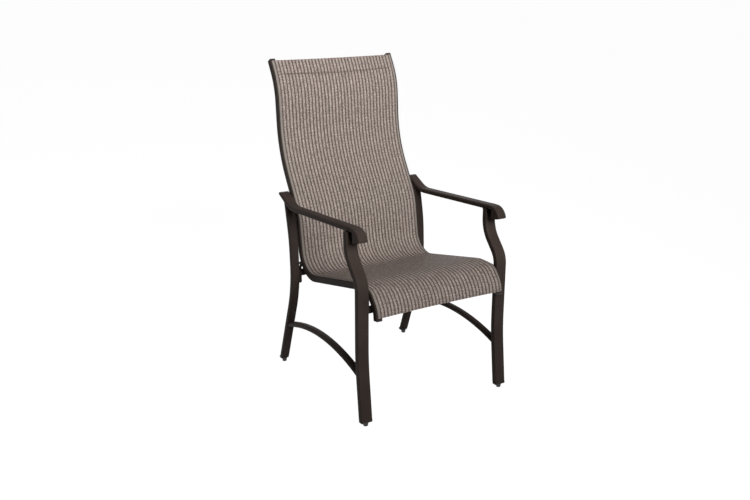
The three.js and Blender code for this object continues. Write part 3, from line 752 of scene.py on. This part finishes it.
def striped_weave_group():
    """Woven sling cloth; U runs across and V along the stripes, in millimetres. Lengthwise yarns, light or
    dark by stripe, pass over and under the crosswise ones, turn about from yarn to yarn. Their brightness
    wanders along each yarn and from bead to bead, and every few crosswise yarns one is thicker. The
    hollows between the yarns are mixed towards a dark colour as painted shade."""
    speck_spread, slub_spread, row_tone = 0.3, 0.35, 0.07
    pick_height, row_height, hollow_shade_share = 0.6, 0.08, 0.42
    yarn_apart, slub_scale = 7.31, 0.06
    inputs = {"UV": VECTOR, "Light": COLOR, "Dark": COLOR, "Across": COLOR}
    inputs |= {"Stripe": FLOAT, "Yarns": FLOAT, "Pick": FLOAT, "Picks": FLOAT}
    n, given, out = new_group("striped_weave", inputs, {"Color": COLOR, "Height": FLOAT, "Over": FLOAT})
    parts = n.add("ShaderNodeSeparateXYZ")
    n.put(parts.inputs[0], given["UV"])
    yarns = n.times(n.math("DIVIDE", parts.outputs[0], given["Stripe"]), given["Yarns"])
    picks = n.math("DIVIDE", parts.outputs[1], given["Pick"])
    yarn_number, pick_number = n.math("FLOOR", yarns), n.math("FLOOR", picks)
    middle = n.math("DIVIDE", n.plus(yarn_number, 0.5), given["Yarns"])
    light = n.ramp(n.math("COSINE", n.times(middle, FULL_TURN)), -0.3, 0.05)
    over = n.ramp(n.math("SINE", n.times(n.plus(picks, yarn_number), math.pi)), -0.7, 0.35)
    yarn, pick = half_round(n, yarns), half_round(n, picks)
    row = n.math("COSINE", n.times(n.math("DIVIDE", picks, given["Picks"]), FULL_TURN))
    below = n.times(n.math("SUBTRACT", 1.0, over), n.times(pick, pick_height))
    height = n.plus(n.plus(n.times(over, yarn), below), n.times(row, row_height))
    speck = n.add("ShaderNodeTexWhiteNoise", noise_dimensions="2D")
    n.fill(speck, Vector=n.pair(yarn_number, pick_number))
    slub_place = n.pair(n.times(yarn_number, yarn_apart), n.times(parts.outputs[1], slub_scale))
    speckled = n.ramp(speck.outputs["Value"], 0.0, 1.0, -speck_spread, speck_spread)
    slubbed = n.ramp(n.noise(slub_place, 1.0), 0.2, 0.8, -slub_spread, slub_spread)
    tone = n.plus(n.plus(1.0, n.plus(speckled, slubbed)), n.times(row, row_tone))
    # Painted shade: the hollows between yarns and picks, low in the height, are mixed towards a dark colour
    hollow_shade = n.times(n.math("SUBTRACT", 1.0, n.times(yarn, pick)), hollow_shade_share)
    lengthwise = n.mix(light, given["Dark"], given["Light"])
    shaded = n.mix(hollow_shade, n.mix(over, given["Across"], lengthwise), WEAVE_HOLLOW_SHADE)
    n.fill(out, Color=n.scaled(shaded, tone), Height=height, Over=over)
    return n.tree


def striped_cloth(weave):
    """The weave on the cloth's own map, with a plain strip at the groove and a dark seam line."""
    n, shader, material = new_material("striped_sling_cloth")
    uv = n.add("ShaderNodeUVMap", uv_map="cloth").outputs[0]
    tone = n.noise(uv, 5.0)
    woven = n.group(
        weave, UV=n.scaled(uv, 1 / MM), Light=n.mix(tone, *LIGHT_YARNS), Dark=n.mix(tone, *DARK_YARNS),
        Across=CROSSWISE_YARN, Stripe=STRIPE_PITCH, Yarns=YARNS_PER_STRIPE,
        Pick=PICK_PITCH, Picks=PICKS_PER_ROW)
    strip = n.add("ShaderNodeAttribute", attribute_name="edge_strip").outputs["Fac"]
    seam = n.add("ShaderNodeAttribute", attribute_name="seam").outputs["Fac"]
    n.fill(
        shader,
        Base_Color=n.mix(seam, n.mix(strip, woven["Color"], EDGE_STRIP), SEAM),
        Roughness=n.ramp(woven["Over"], 0.0, 1.0, 0.8, 0.6),
        Normal=n.bump(woven["Height"], 0.5, 0.7),
        Specular_IOR_Level=0.3)
    return material


def twisted_thread():
    """The hem's thread: slanting bands round it for its twist, raised by the bump and coloured darker in the
    grooves between them as painted shade.
    """
    n, shader, material = new_material("hem_thread")
    wave = n.add("ShaderNodeTexWave", wave_type="BANDS", bands_direction="DIAGONAL")
    twist = n.fill(wave, Vector=n.object_place(), Scale=900.0)["Fac"]
    # Painted shade: the colour goes darker where the twist's bands are low
    n.fill(shader, Base_Color=n.mix(twist, *THREAD_TONES_AND_GROOVE_SHADE), Normal=n.bump(twist, 0.2), Roughness=0.7)
    return material


skin = orange_peel_group()
FINISHES = {
    "frame": powder_coat(skin),
    "plastic": moulded_plastic(skin),
    "hardware": zinc_plate(skin),
    "sling": striped_cloth(striped_weave_group()),
}
thread = twisted_thread()


# Legs and glides

def arm_underside(y):
    """Height of the armrest's underside above each y of the side plane."""
    low = beside(arm_path, -ARM_THICKNESS / 2 - SEAT_GAP)
    return np.interp(y, low[:, 0], low[:, 1])


def leg(path, width, depth):
    """A rounded tube from its glide to the armrest, its top cut to the armrest's underside."""
    outline = rounded_rectangle(width, depth, LEG_CORNER)
    grid = swept(outline, path, path.stations(0, path.length, LEG_SPACING))
    top = arm_underside(grid[..., 1])
    grid[..., 2] = np.clip(grid[..., 2], FOOT_HEIGHT, top)
    between = (grid[..., 2].max(1) > FOOT_HEIGHT) & (grid[..., 2].min(1) < top.min(1) - CUT_MARGIN)
    first, last = np.flatnonzero(between)[[0, -1]]
    return tube(grid[max(first - 1, 0):last + 2])


def legs():
    for name, path, width, depth, x in LEGS:
        both_sides(f"{name}_leg", leg(path, width, depth), "frame", x)


def glide(path, width, depth):
    """A moulded foot: a flange with rounded edges under the tube's end, and a lathed nub below it that
    widens towards the flange with a power of the height."""
    top = FOOT_HEIGHT - SEAT_GAP
    edge = round_over(FLANGE_EDGE, 4)
    levels = [(NUB_HEIGHT + rise, inset) for rise, inset in edge]
    levels += [(top - rise, inset) for rise, inset in reversed(edge)]
    rows = []
    for z, inset in levels:
        corner = LEG_CORNER - inset * FLANGE_CORNER_SHARE
        ring = rounded_rectangle(width - 2 * inset, depth - 2 * inset, corner)
        rows.append(np.column_stack([ring[:, 0], path.y_at_height(z) - ring[:, 1], np.full(len(ring), z)]))
    sole = [(NUB_RADIUS - inset, rise) for rise, inset in round_over(NUB_EDGE, 4)]
    share = np.linspace(0.1, 1, 9)
    radius = NUB_RADIUS + (NUB_ROOT_RADIUS - NUB_RADIUS) * share ** NUB_FLARE_POWER
    flare = np.column_stack([radius, NUB_EDGE + (NUB_HEIGHT - NUB_EDGE) * share])
    profile = [*sole, *flare, (NUB_ROOT_RADIUS, NUB_HEIGHT + FLANGE_EDGE)]
    return tube(np.stack(rows)).add_tube(lathed(profile, (0, path.y_at_height(FOOT_HEIGHT))))


def glides():
    for name, path, width, depth, x in LEGS:
        both_sides(f"{name}_glide", glide(path, width, depth), "plastic", x)


def leg_top_welds():
    """Beads where the legs meet the armrest's underside, as far outboard as the armrest reaches."""
    for name, path, width, depth, x in LEGS:
        high = path.distance_at_height(ARM_HEIGHT - ARM_THICKNESS)
        ring = swept(rounded_rectangle(width, depth, LEG_CORNER, side_steps=8), path, high)[0]
        ring[:, 2] = arm_underside(ring[:, 1])
        ring = ring[ring[:, 0] <= ARM_X + ARM_WIDTH / 2 - x - LEG_TOP_MARGIN]
        beads_on_both_sides(f"{name}_leg_top_weld", Form().add_bead(ring, (0, 0, 1), LEG_TOP_BEAD), x)


# Side stretchers

def face_y(path, offset, heights):
    """The y at heights of a line beside a path."""
    face = beside(path, offset)
    return np.interp(heights, face[:, 1], face[:, 0])


def between_legs(grid):
    """The grid with its y kept between the front leg's rear face and the rear leg's front face."""
    low = face_y(front_leg_path, -FRONT_LEG_DEPTH / 2 - SEAT_GAP, grid[..., 2])
    high = face_y(rear_leg_path, REAR_LEG_DEPTH / 2 + SEAT_GAP, grid[..., 2])
    inside = (grid[..., 1] > low) & (grid[..., 1] < high)
    kept = np.flatnonzero(inside.any(1))
    rows = slice(max(kept[0] - 1, 0), kept[-1] + 2)
    grid = grid[rows].copy()
    grid[..., 1] = np.clip(grid[..., 1], low[rows], high[rows])
    return grid


def stretchers():
    """Arched bars that lean evenly from the middle of the rear leg to the middle of the front leg."""
    start = (front_leg_path.y_at_height(STRETCHER_FRONT_HEIGHT), STRETCHER_FRONT_HEIGHT)
    end = (rear_leg_path.y_at_height(STRETCHER_REAR_HEIGHT), STRETCHER_REAR_HEIGHT)
    path = arch_path(start, end, STRETCHER_RISE)
    outline = rounded_rectangle(STRETCHER_WIDTH, STRETCHER_THICKNESS, STRETCHER_THICKNESS / 2, 12)
    grid = between_legs(swept(outline, path, path.travelled))
    front_share = (path.places[-1, 0] - grid[..., 1]) / (path.places[-1, 0] - path.places[0, 0])
    grid[..., 0] += (FRONT_LEG_X - REAR_LEG_X) * front_share
    both_sides("side_stretcher", tube(grid), "frame", REAR_LEG_X)
    beads_on_both_sides("stretcher_welds", end_beads(grid, (0, 1, 0), STRETCHER_BEAD), REAR_LEG_X)


# Armrests

def cut_columns(grid, reach):
    """Ends each lengthwise line of a grid where reach, a value at every point, passes nought: its later
    points move to the place where it does, straight between the two points on either side."""
    over = reach > 0
    first = np.where(over.any(0), over.argmax(0), len(grid) - 1)
    columns = np.arange(grid.shape[1])
    before, after = reach[first - 1, columns], reach[first, columns]
    share = np.where(over.any(0), before / np.where(before == after, 1, before - after), 1)[:, None]
    end = grid[first - 1, columns] * (1 - share) + grid[first, columns] * share
    later = np.arange(len(grid))[:, None] >= first[None]
    return np.where(later[..., None], end[None], grid)


def cut_at_tail(grid):
    """Lines end where they pass behind the tail's end or above its level top."""
    return cut_columns(grid, np.maximum(grid[..., 1] - TAIL_Y, grid[..., 2] - TAIL_HEIGHT))


def armrests():
    """Flat rounded tubes, cut square behind and level on top, and open at the tail as deep as the recess."""
    outline = rounded_rectangle(ARM_WIDTH, ARM_THICKNESS, ARM_EDGE, 9, 3)
    front = ARM_JOINT_Y + SEAT_GAP
    start = np.interp(front, arm_path.places[:, 0], arm_path.travelled) - ARM_OVERLAP
    grid = swept(outline, arm_path, arm_path.stations(start, arm_path.length, ARM_SPACING))
    grid[..., 1] = np.maximum(grid[..., 1], front)
    bore_distances = np.linspace(arm_path.length - TAIL_BORE, arm_path.length, 60)
    bore_end = cut_at_tail(swept(drawn_in(outline, ARM_WALL), arm_path, bore_distances))[-1:]
    recess_floor = bore_end - np.array([0, *arm_path.directions[-1]]) * TAIL_RECESS
    both_sides("armrest", tube(np.concatenate([cut_at_tail(grid), bore_end, recess_floor])), "frame", ARM_X)


def scroll_outline():
    """The scroll seen from the side, y to the rear and z up: a round brow from the joint's top, a nose that
    bends down to the tip in a parabola, and straight back by the heel to the joint's foot."""
    slope = arm_path.directions[0]
    joint_z = arm_path.places[0, 1] + (ARM_JOINT_Y - arm_path.places[0, 0]) * slope[1] / slope[0]
    top, foot = joint_z + ARM_THICKNESS / 2, joint_z - ARM_THICKNESS / 2
    centre = (ARM_JOINT_Y - SCROLL_LEAD, top - SCROLL_RADIUS)
    brow = arc(*centre, SCROLL_RADIUS, QUARTER_TURN, SCROLL_BROW_END, 26)
    tip = np.array([centre[0] - SCROLL_RADIUS + SCROLL_TIP_SETBACK, top - SCROLL_TIP_DROP])
    corner = tip + [-SCROLL_TIP_SETBACK, SCROLL_TIP_SETBACK]
    t = np.linspace(0, 1, 9)[1:, None]
    nose = (1 - t) ** 2 * brow[-1] + 2 * t * (1 - t) * corner + t ** 2 * (tip + [SCROLL_TIP_SETBACK, 0])
    heel_y = ARM_JOINT_Y - SCROLL_HEEL_SETBACK
    heel = [(heel_y, top - SCROLL_HEEL_DROP), (heel_y, foot), (ARM_JOINT_Y, foot)]
    return np.concatenate([[(ARM_JOINT_Y, top)], brow, nose, heel])


def arm_scrolls():
    """The scroll's outline carried across the arm's width, drawn in round both edges by a quarter circle."""
    outline = even_outline(scroll_outline(), SCROLL_SPACING)
    levels = [(depth - ARM_WIDTH / 2, inset) for depth, inset in round_over(SCROLL_EDGE, 7)]
    levels += [(-x, inset) for x, inset in reversed(levels)]
    rows = []
    for x, inset in levels:
        ring = drawn_in(outline, inset)
        y = np.minimum(ring[:, 0], ARM_JOINT_Y)
        rows.append(np.column_stack([np.full(len(ring), x), y, ring[:, 1]]))
    flat_ended_on_both_sides("arm_scroll", np.stack(rows), ARM_X)


# Sling rails and their caps

def rail_outline():
    """The extrusion's outside: rounded corners and the open keyhole groove that holds the cloth."""
    x, y = RAIL_WIDTH / 2 - RAIL_CORNER, RAIL_DEPTH / 2 - RAIL_CORNER
    half_slot = math.asin(GROOVE_HALF_SLOT / GROOVE_RADIUS)
    first, last = QUARTER_TURN - half_slot, half_slot - 3 * QUARTER_TURN
    centres = [(x, y), (-x, y), (-x, -y), (x, -y)]
    corners = [quarter_circle(*centre, RAIL_CORNER, k, 6) for k, centre in enumerate(centres)]
    groove = [
        [(GROOVE_OFFSET + GROOVE_HALF_SLOT, RAIL_DEPTH / 2)],
        arc(GROOVE_OFFSET, GROOVE_LEVEL, GROOVE_RADIUS, first, last, 18),
        [(GROOVE_OFFSET - GROOVE_HALF_SLOT, RAIL_DEPTH / 2)]]
    return np.concatenate([corners[0], *groove, *corners[1:]])


def rails():
    distances = rail_path.stations(CAP_THICKNESS, rail_path.length - CAP_THICKNESS, RAIL_SPACING)
    flat_ended_on_both_sides("sling_rail", swept(rail_outline(), rail_path, distances), RAIL_X)


def rail_caps():
    """Moulded plates on the rails' ends, each drawn in round its outer edge by a quarter circle."""
    outline = rounded_rectangle(RAIL_WIDTH, RAIL_DEPTH, RAIL_CORNER, 6)
    size = np.array([RAIL_WIDTH, RAIL_DEPTH])
    rings = [(CAP_THICKNESS - SEAT_GAP, 0), *reversed(round_over(CAP_EDGE, 6))]
    for name, end, sign in (("rail_bottom_cap", 0, 1), ("rail_top_cap", rail_path.length, -1)):
        rows = [
            swept(outline * (size - 2 * inset) / size, rail_path, end + sign * depth)[0]
            for depth, inset in rings]
        both_sides(name, tube(np.stack(rows)), "plastic", RAIL_X)


# Crossbars and spreaders

def bar(name, grid, bead_radius):
    """A bar across the chair, with weld beads round its two ends."""
    make_piece(f"{name}_form", tube(grid), "frame", [name])
    make_piece(f"{name}_welds", end_beads(grid, (1, 0, 0), bead_radius), "frame")


def crossbars():
    reach = LEG_INNER_X - SEAT_GAP
    path = bent_path([(-reach, 0), (reach, 0)], [])
    outline = rounded_rectangle(CROSSBAR_DEPTH, CROSSBAR_HEIGHT, CROSSBAR_DEPTH / 2, 12)
    for leg_pair, drop in zip(LEGS, (FRONT_CROSSBAR_DROP, REAR_CROSSBAR_DROP)):
        height = SEAT_HEIGHT - drop
        place = np.array([leg_pair[1].y_at_height(height), height])
        bar(f"{leg_pair[0]}_crossbar", swept_across(outline, path, (0, 1), place), CROSSBAR_BEAD)


def spreader(name, distance):
    """A round tube between the rails, at a distance along them, that bows away from the cloth."""
    reach = RAIL_INNER_X - SEAT_GAP
    ramp_start = reach - SPREADER_END_RUN
    ramp_end = ramp_start - SPREADER_RAMP
    right = [(-reach, 0), (-ramp_start, 0), (-ramp_end, SPREADER_BOW)]
    path = bent_path([*right, *((-x, y) for x, y in reversed(right))], [SPREADER_BEND] * 4)
    place, direction = (v[0] for v in rail_path.at(distance))
    away = np.array([direction[1], -direction[0]])
    bar(name, swept_across(circle(SPREADER_RADIUS, 28), path, away, place), SPREADER_BEAD)


def spreaders():
    """One under the top of the back, and one where the seat's rear bend starts."""
    spreader("back_spreader", rail_path.distance_at_height(OVERALL_HEIGHT - BACK_SPREADER_DROP))
    spreader("seat_spreader", rail_path.travelled[np.argmax(rail_path.places[:, 0] > 0)])


# Sling

def curvature(distances, reach=2):
    """Turn of the rail per millimetre, positive where it bends round the sitter."""
    ahead, behind = rail_path.at(distances + reach)[1], rail_path.at(distances - reach)[1]
    return (behind[:, 0] * ahead[:, 1] - behind[:, 1] * ahead[:, 0]) / (2 * reach)


def settled_offsets(xs, distances):
    """How far the stretched cloth lies off the rails' line: pulled in by its own weight, and drawn off the
    line where the rails bend. With d = 0 at the rails and k their curvature, d_xx + r d_ss = q - r k."""
    pull = 2 * SLING_SAG / RAIL_INNER_X ** 2
    load = (pull - SLING_STRETCH_SHARE * curvature(distances))[:, None]
    d = np.zeros((len(distances), len(xs)))
    across = 1 / (xs[1] - xs[0]) ** 2
    along = SLING_STRETCH_SHARE / (distances[1] - distances[0]) ** 2
    for _ in range(SETTLING_ROUNDS):
        padded = np.concatenate([d[:1], d, d[-1:]])
        neighbours = (padded[:-2] + padded[2:])[:, 1:-1]
        d[:, 1:-1] = (across * (d[:, :-2] + d[:, 2:]) + along * neighbours - load) / (2 * across + 2 * along)
    return d


def sling_surface():
    """The middle of the cloth: up out of one groove, over the rail's edge, across to the other rail and
    down. Gives the rows' distances along the rails, the columns' places across, and the height at each."""
    start, end = CAP_THICKNESS + SLING_BOTTOM_MARGIN, rail_path.length - CAP_THICKNESS - SLING_TOP_MARGIN
    rows = np.linspace(start, end, int((end - start) / CLOTH_SPACING) + 1)
    xs = np.linspace(-RAIL_INNER_X, RAIL_INNER_X, CLOTH_COLUMNS)
    level = RAIL_DEPTH / 2 + SEAT_GAP + SLING_THICKNESS / 2
    edge = RAIL_X + GROOVE_OFFSET
    foot = GROOVE_LEVEL + ROD_RADIUS + SEAT_GAP
    turn_x, turn_level = edge - SLING_TURN, level - SLING_TURN
    outer = np.concatenate([
        np.linspace((edge, foot), (edge, turn_level), 4)[:-1],
        arc(turn_x, turn_level, SLING_TURN, 0, QUARTER_TURN, 5),
        np.linspace((turn_x, level), (RAIL_INNER_X, level), 6)[1:-1]])
    sides = np.tile(outer[:, 1], (len(rows), 1))
    heights = np.hstack([sides, level + settled_offsets(xs, rows), sides[:, ::-1]])
    return rows, np.concatenate([-outer[:, 0], xs, outer[::-1, 0]]), heights


def hem_thickness(rows):
    """Extra depth under the cloth in its two hems, where it lies double, with a soft step at each seam:
    1 / (1 + exp((d - hem) / step)), d being the distance from the nearer end."""
    from_end = np.minimum(rows - rows[0], rows[-1] - rows)
    return SLING_THICKNESS / (1 + np.exp((from_end - HEM_LENGTH) / HEM_STEP))


def seam_distance(rows, xs):
    """Where along the rails the top hem's seam lies at each x: it sags in a parabola towards its middle."""
    return rows[-1] - HEM_LENGTH - SEAM_BOW * (1 - (xs / RAIL_INNER_X) ** 2)


def near_seam(rows, xs, width):
    """One on the top hem's seam, fading on both sides in a bell curve of a width."""
    return np.exp(-((rows[:, None] - seam_distance(rows, xs)[None]) / width) ** 2)


def sling_grid(surface, side_offset):
    """One face of the cloth: its middle, with a furrow along the seam, moved by side_offset along its
    section's normal (-dh, dx), towards the sitter. The hidden face also holds the hems' thickness."""
    rows, xs, heights = surface
    places, directions = rail_path.at(rows)
    inner = (np.abs(xs) < RAIL_INNER_X).astype(float)
    level = heights - SEAM_DEPTH * near_seam(rows, xs, SEAM_FURROW) * inner
    dx, dh = np.gradient(xs)[None], np.gradient(level, axis=1)
    norm = np.hypot(dx, dh)
    grid = np.empty((*level.shape, 3))
    grid[..., 0] = xs - dh / norm * side_offset
    raised = level + dx / norm * side_offset
    if side_offset < 0:
        raised -= hem_thickness(rows)[:, None] * inner
    grid[..., 1:] = places[:, None] + normals_to(directions)[:, None] * raised[..., None]
    return grid


def sheet_faces(rows, columns):
    """Faces of a closed sheet: its seen side, its hidden side turned round, and a wall along its edges."""
    count = rows * columns
    seen = grid_faces(rows, columns)
    rim = np.concatenate([
        np.arange(columns),
        columns * np.arange(1, rows) + columns - 1,
        count - 1 - np.arange(1, columns),
        columns * np.arange(rows - 2, 0, -1)])
    following = np.roll(rim, -1)
    wall = np.stack([following, rim, rim + count, following + count], -1)
    return np.concatenate([seen, seen[:, ::-1] + count, wall])


def map_cloth(mesh, across, along):
    """The cloth's own map, in metres: U across from its middle line and V along from its front end."""
    u, v = (np.tile(values.ravel(), 2) for values in np.meshgrid(across, along))
    corners = np.empty(len(mesh.loops), np.int32)
    mesh.loops.foreach_get("vertex_index", corners)
    layer = mesh.uv_layers.new(name="cloth")
    layer.data.foreach_set("uv", (np.stack([u, v], -1)[corners] * MM).astype(np.float32).ravel())


def mark_points(mesh, name, values):
    """Gives the two faces of the cloth the same values of an attribute."""
    layer = mesh.attributes.new(name, "FLOAT", "POINT")
    layer.data.foreach_set("value", np.tile(values.ravel(), 2).astype(np.float32))


def mark_cloth(mesh, rows, xs):
    """Marks the plain strips at the grooves, and the seam's dark line, which fades out before the rails."""
    strip_start = RAIL_X + GROOVE_OFFSET - EDGE_STRIP_WIDTH
    strip = np.clip((np.abs(xs) - strip_start) / EDGE_STRIP_FADE, 0, 1)
    mark_points(mesh, "edge_strip", np.tile(strip, (len(rows), 1)))
    fade = np.clip((RAIL_INNER_X - SEAM_FADE - np.abs(xs)) / SEAM_FADE, 0, 1)
    mark_points(mesh, "seam", SEAM_DARKNESS * near_seam(rows, xs, SEAM_LINE) * fade)


def hem_stitches(surface, face):
    """The top hem's lockstitch: short threads along the furrow, each a parabola over the cloth with its ends
    sunk into it."""
    rows, xs, _ = surface
    line_x = np.arange(STITCH_MARGIN - RAIL_INNER_X, RAIL_INNER_X - STITCH_MARGIN, STITCH_PITCH)
    distances = seam_distance(rows, line_x)
    t = np.linspace(-1, 1, 6)
    lift = STITCH_ARCH * (1 - t ** 2) - STITCH_SINK
    columns = np.interp(line_x[:, None] + t * STITCH_REACH, xs, np.arange(len(xs)))
    ranks = np.interp(distances, rows, np.arange(len(rows)))[:, None] + np.zeros_like(t)
    lines = grid_sample(face, ranks, columns)
    sides = normals_to(rail_path.at(distances)[1])
    lines[..., 1:] += sides[:, None] * lift[None, :, None]
    ring = circle(THREAD_RADIUS, 6)
    form = Form()
    for line, side, behind in zip(lines, sides, normals_to(sides)):
        grid = np.repeat(line[:, None], len(ring), 1)
        grid[..., 1:] += ring[:, :1] * side + ring[:, 1:] * behind
        form.add_tube(grid)
    return make_piece("top_hem_stitches", form, "sling", material=thread)


def sling():
    """The cloth as a closed sheet. Gives its flat width, taken across its middle row, and its flat length,
    taken along its middle column."""
    surface = sling_surface()
    seen, hidden, middle = (sling_grid(surface, side * SLING_THICKNESS / 2) for side in (1, -1, 0))
    rows, columns = middle.shape[:2]
    points = np.concatenate([seen, hidden]).reshape(-1, 3)
    mesh = new_mesh("sling_cloth", points, outward(points, sheet_faces(rows, columns)).tolist())
    across, along = travelled_along(middle[rows // 2]), travelled_along(middle[:, columns // 2])
    map_cloth(mesh, across - across[-1] / 2, surface[0] - surface[0][0])
    mark_cloth(mesh, *surface[:2])
    piece = finished_piece(mesh, "sling", ["sling"], sharp_angle=CLOTH_SHARP_ANGLE)
    stitches = hem_stitches(surface, seen)
    width, length = across[-1], along[-1]
    return width, length


# Frame nodes that stay as they are

def smoothing_group():
    """Geometry nodes that join a node's loose triangles and shade it smooth but for its edges."""
    tree = bpy.data.node_groups.new("joined_and_smooth", "GeometryNodeTree")
    tree.interface.new_socket("Geometry", in_out="INPUT", socket_type="NodeSocketGeometry")
    tree.interface.new_socket("Geometry", in_out="OUTPUT", socket_type="NodeSocketGeometry")
    n = Nodes(tree)
    joined = n.add("GeometryNodeMergeByDistance")
    n.put(joined.inputs[0], n.add("NodeGroupInput").outputs[0])
    n.fill(joined, Distance=NODE_MERGE_REACH * MM)
    flat_edge = n.add("FunctionNodeCompare", data_type="FLOAT", operation="LESS_THAN")
    n.fill_in_order(flat_edge, n.add("GeometryNodeInputMeshEdgeAngle").outputs[0], math.radians(SHARP_ANGLE))
    faces = n.add("GeometryNodeSetShadeSmooth")
    n.put(faces.inputs[0], joined.outputs[0])
    edges = n.add("GeometryNodeSetShadeSmooth", domain="EDGE")
    n.put(edges.inputs[0], faces.outputs[0])
    n.fill(edges, Shade_Smooth=flat_edge.outputs[0])
    n.put(n.add("NodeGroupOutput").inputs[0], edges.outputs[0])
    return tree


def dress_frame_nodes():
    smoothing = smoothing_group()
    slots = {row["node"]: row["material_slot"] for row in frame["record"]["subparts"]}
    for name, node in frame["nodes"].items():
        node.data.materials.clear()
        node.data.materials.append(FINISHES[slots[name]])
        if not node.hide_render:
            node.modifiers.new("smooth", "NODES").node_group = smoothing


# Floor, light and camera

def seen_by_eye_or_mirror(n):
    """One for rays from the camera, or that a glossy or a clear surface passes on; nought for the others."""
    path = n.add("ShaderNodeLightPath").outputs
    either = n.math("MAXIMUM", path["Is Camera Ray"], path["Is Glossy Ray"])
    return n.math("MAXIMUM", either, path["Is Transmission Ray"])


def floor():
    """A pale floor that looks white: grey for the object's shadow, and glowing to the eye alone."""
    r = FLOOR_REACH
    mesh = new_mesh("floor", [(-r, -r, 0), (r, -r, 0), (r, r, 0), (-r, r, 0)], [(0, 1, 2, 3)])
    n, shader, material = new_material("pale_floor")
    n.fill(
        shader, Base_Color=FLOOR_GREY, Roughness=0.9, Specular_IOR_Level=0.0, Emission_Color=WHITE,
        Emission_Strength=n.times(seen_by_eye_or_mirror(n), FLOOR_GLOW))
    mesh.materials.append(material)
    new_object("floor", mesh)


def lamp(name, place, target, size, power, spread, glossy=True):
    """A rectangular softbox; it shows in glossy surfaces only where glossy is set."""
    data = bpy.data.lights.new(name, "AREA")
    data.shape = "RECTANGLE"
    data.size, data.size_y = size
    data.energy = power
    data.spread = math.radians(spread)
    softbox = new_object(name, data)
    softbox.location = place
    softbox.rotation_euler = (Vector(target) - Vector(place)).to_track_quat("-Z", "Y").to_euler()
    softbox.visible_glossy = glossy


def lights():
    """A soft key from the front, a little from the top and the rear, and an even world; all in metres."""
    world = bpy.data.worlds.new("studio")
    bpy.context.scene.world = world
    world.use_nodes = True
    n = Nodes(world.node_tree)
    strength = n.ramp(seen_by_eye_or_mirror(n), 0.0, 1.0, WORLD_LIGHT, 1.0)
    n.fill(world.node_tree.nodes["Background"], Color=WHITE, Strength=strength)
    wide = (1.8, 1.4)
    lamp("front_softbox", (-0.3, -3.6, 2.3), (0, 0.2, 1.5), size=wide, power=34, spread=60)
    lamp("top_softbox", (0, -0.6, 3.4), (0, 0, 0.5), size=(2, 2), power=6, spread=180)
    lamp("rear_softbox", (0.8, 3.4, 1.7), (0, 0, 0.7), size=wide, power=9, spread=60, glossy=False)


def camera():
    """The photograph's camera; its shift brings the chair to its place in the frame."""
    data = bpy.data.cameras.new("camera")
    data.sensor_width = SENSOR_WIDTH
    data.lens = FOCAL_PIXELS / PHOTO_WIDTH * SENSOR_WIDTH
    data.shift_x = (PHOTO_WIDTH / 2 - MIDDLE_PIXEL[0]) / PHOTO_WIDTH
    data.shift_y = (MIDDLE_PIXEL[1] - PHOTO_HEIGHT / 2) / PHOTO_WIDTH
    data.clip_end = 3 * FLOOR_REACH * MM
    eye = new_object("camera", data)
    eye.location = CAMERA_PLACE
    eye.rotation_euler = (math.radians(CAMERA_TILT), 0, math.radians(CAMERA_TURN))
    bpy.context.scene.camera = eye


camera()
legs()
glides()
stretchers()
armrests()
arm_scrolls()
leg_top_welds()
rails()
rail_caps()
crossbars()
spreaders()
cloth_sizes = sling()
dress_frame_nodes()
floor()
lights()
bpy.context.scene.view_settings.view_transform = "Standard"
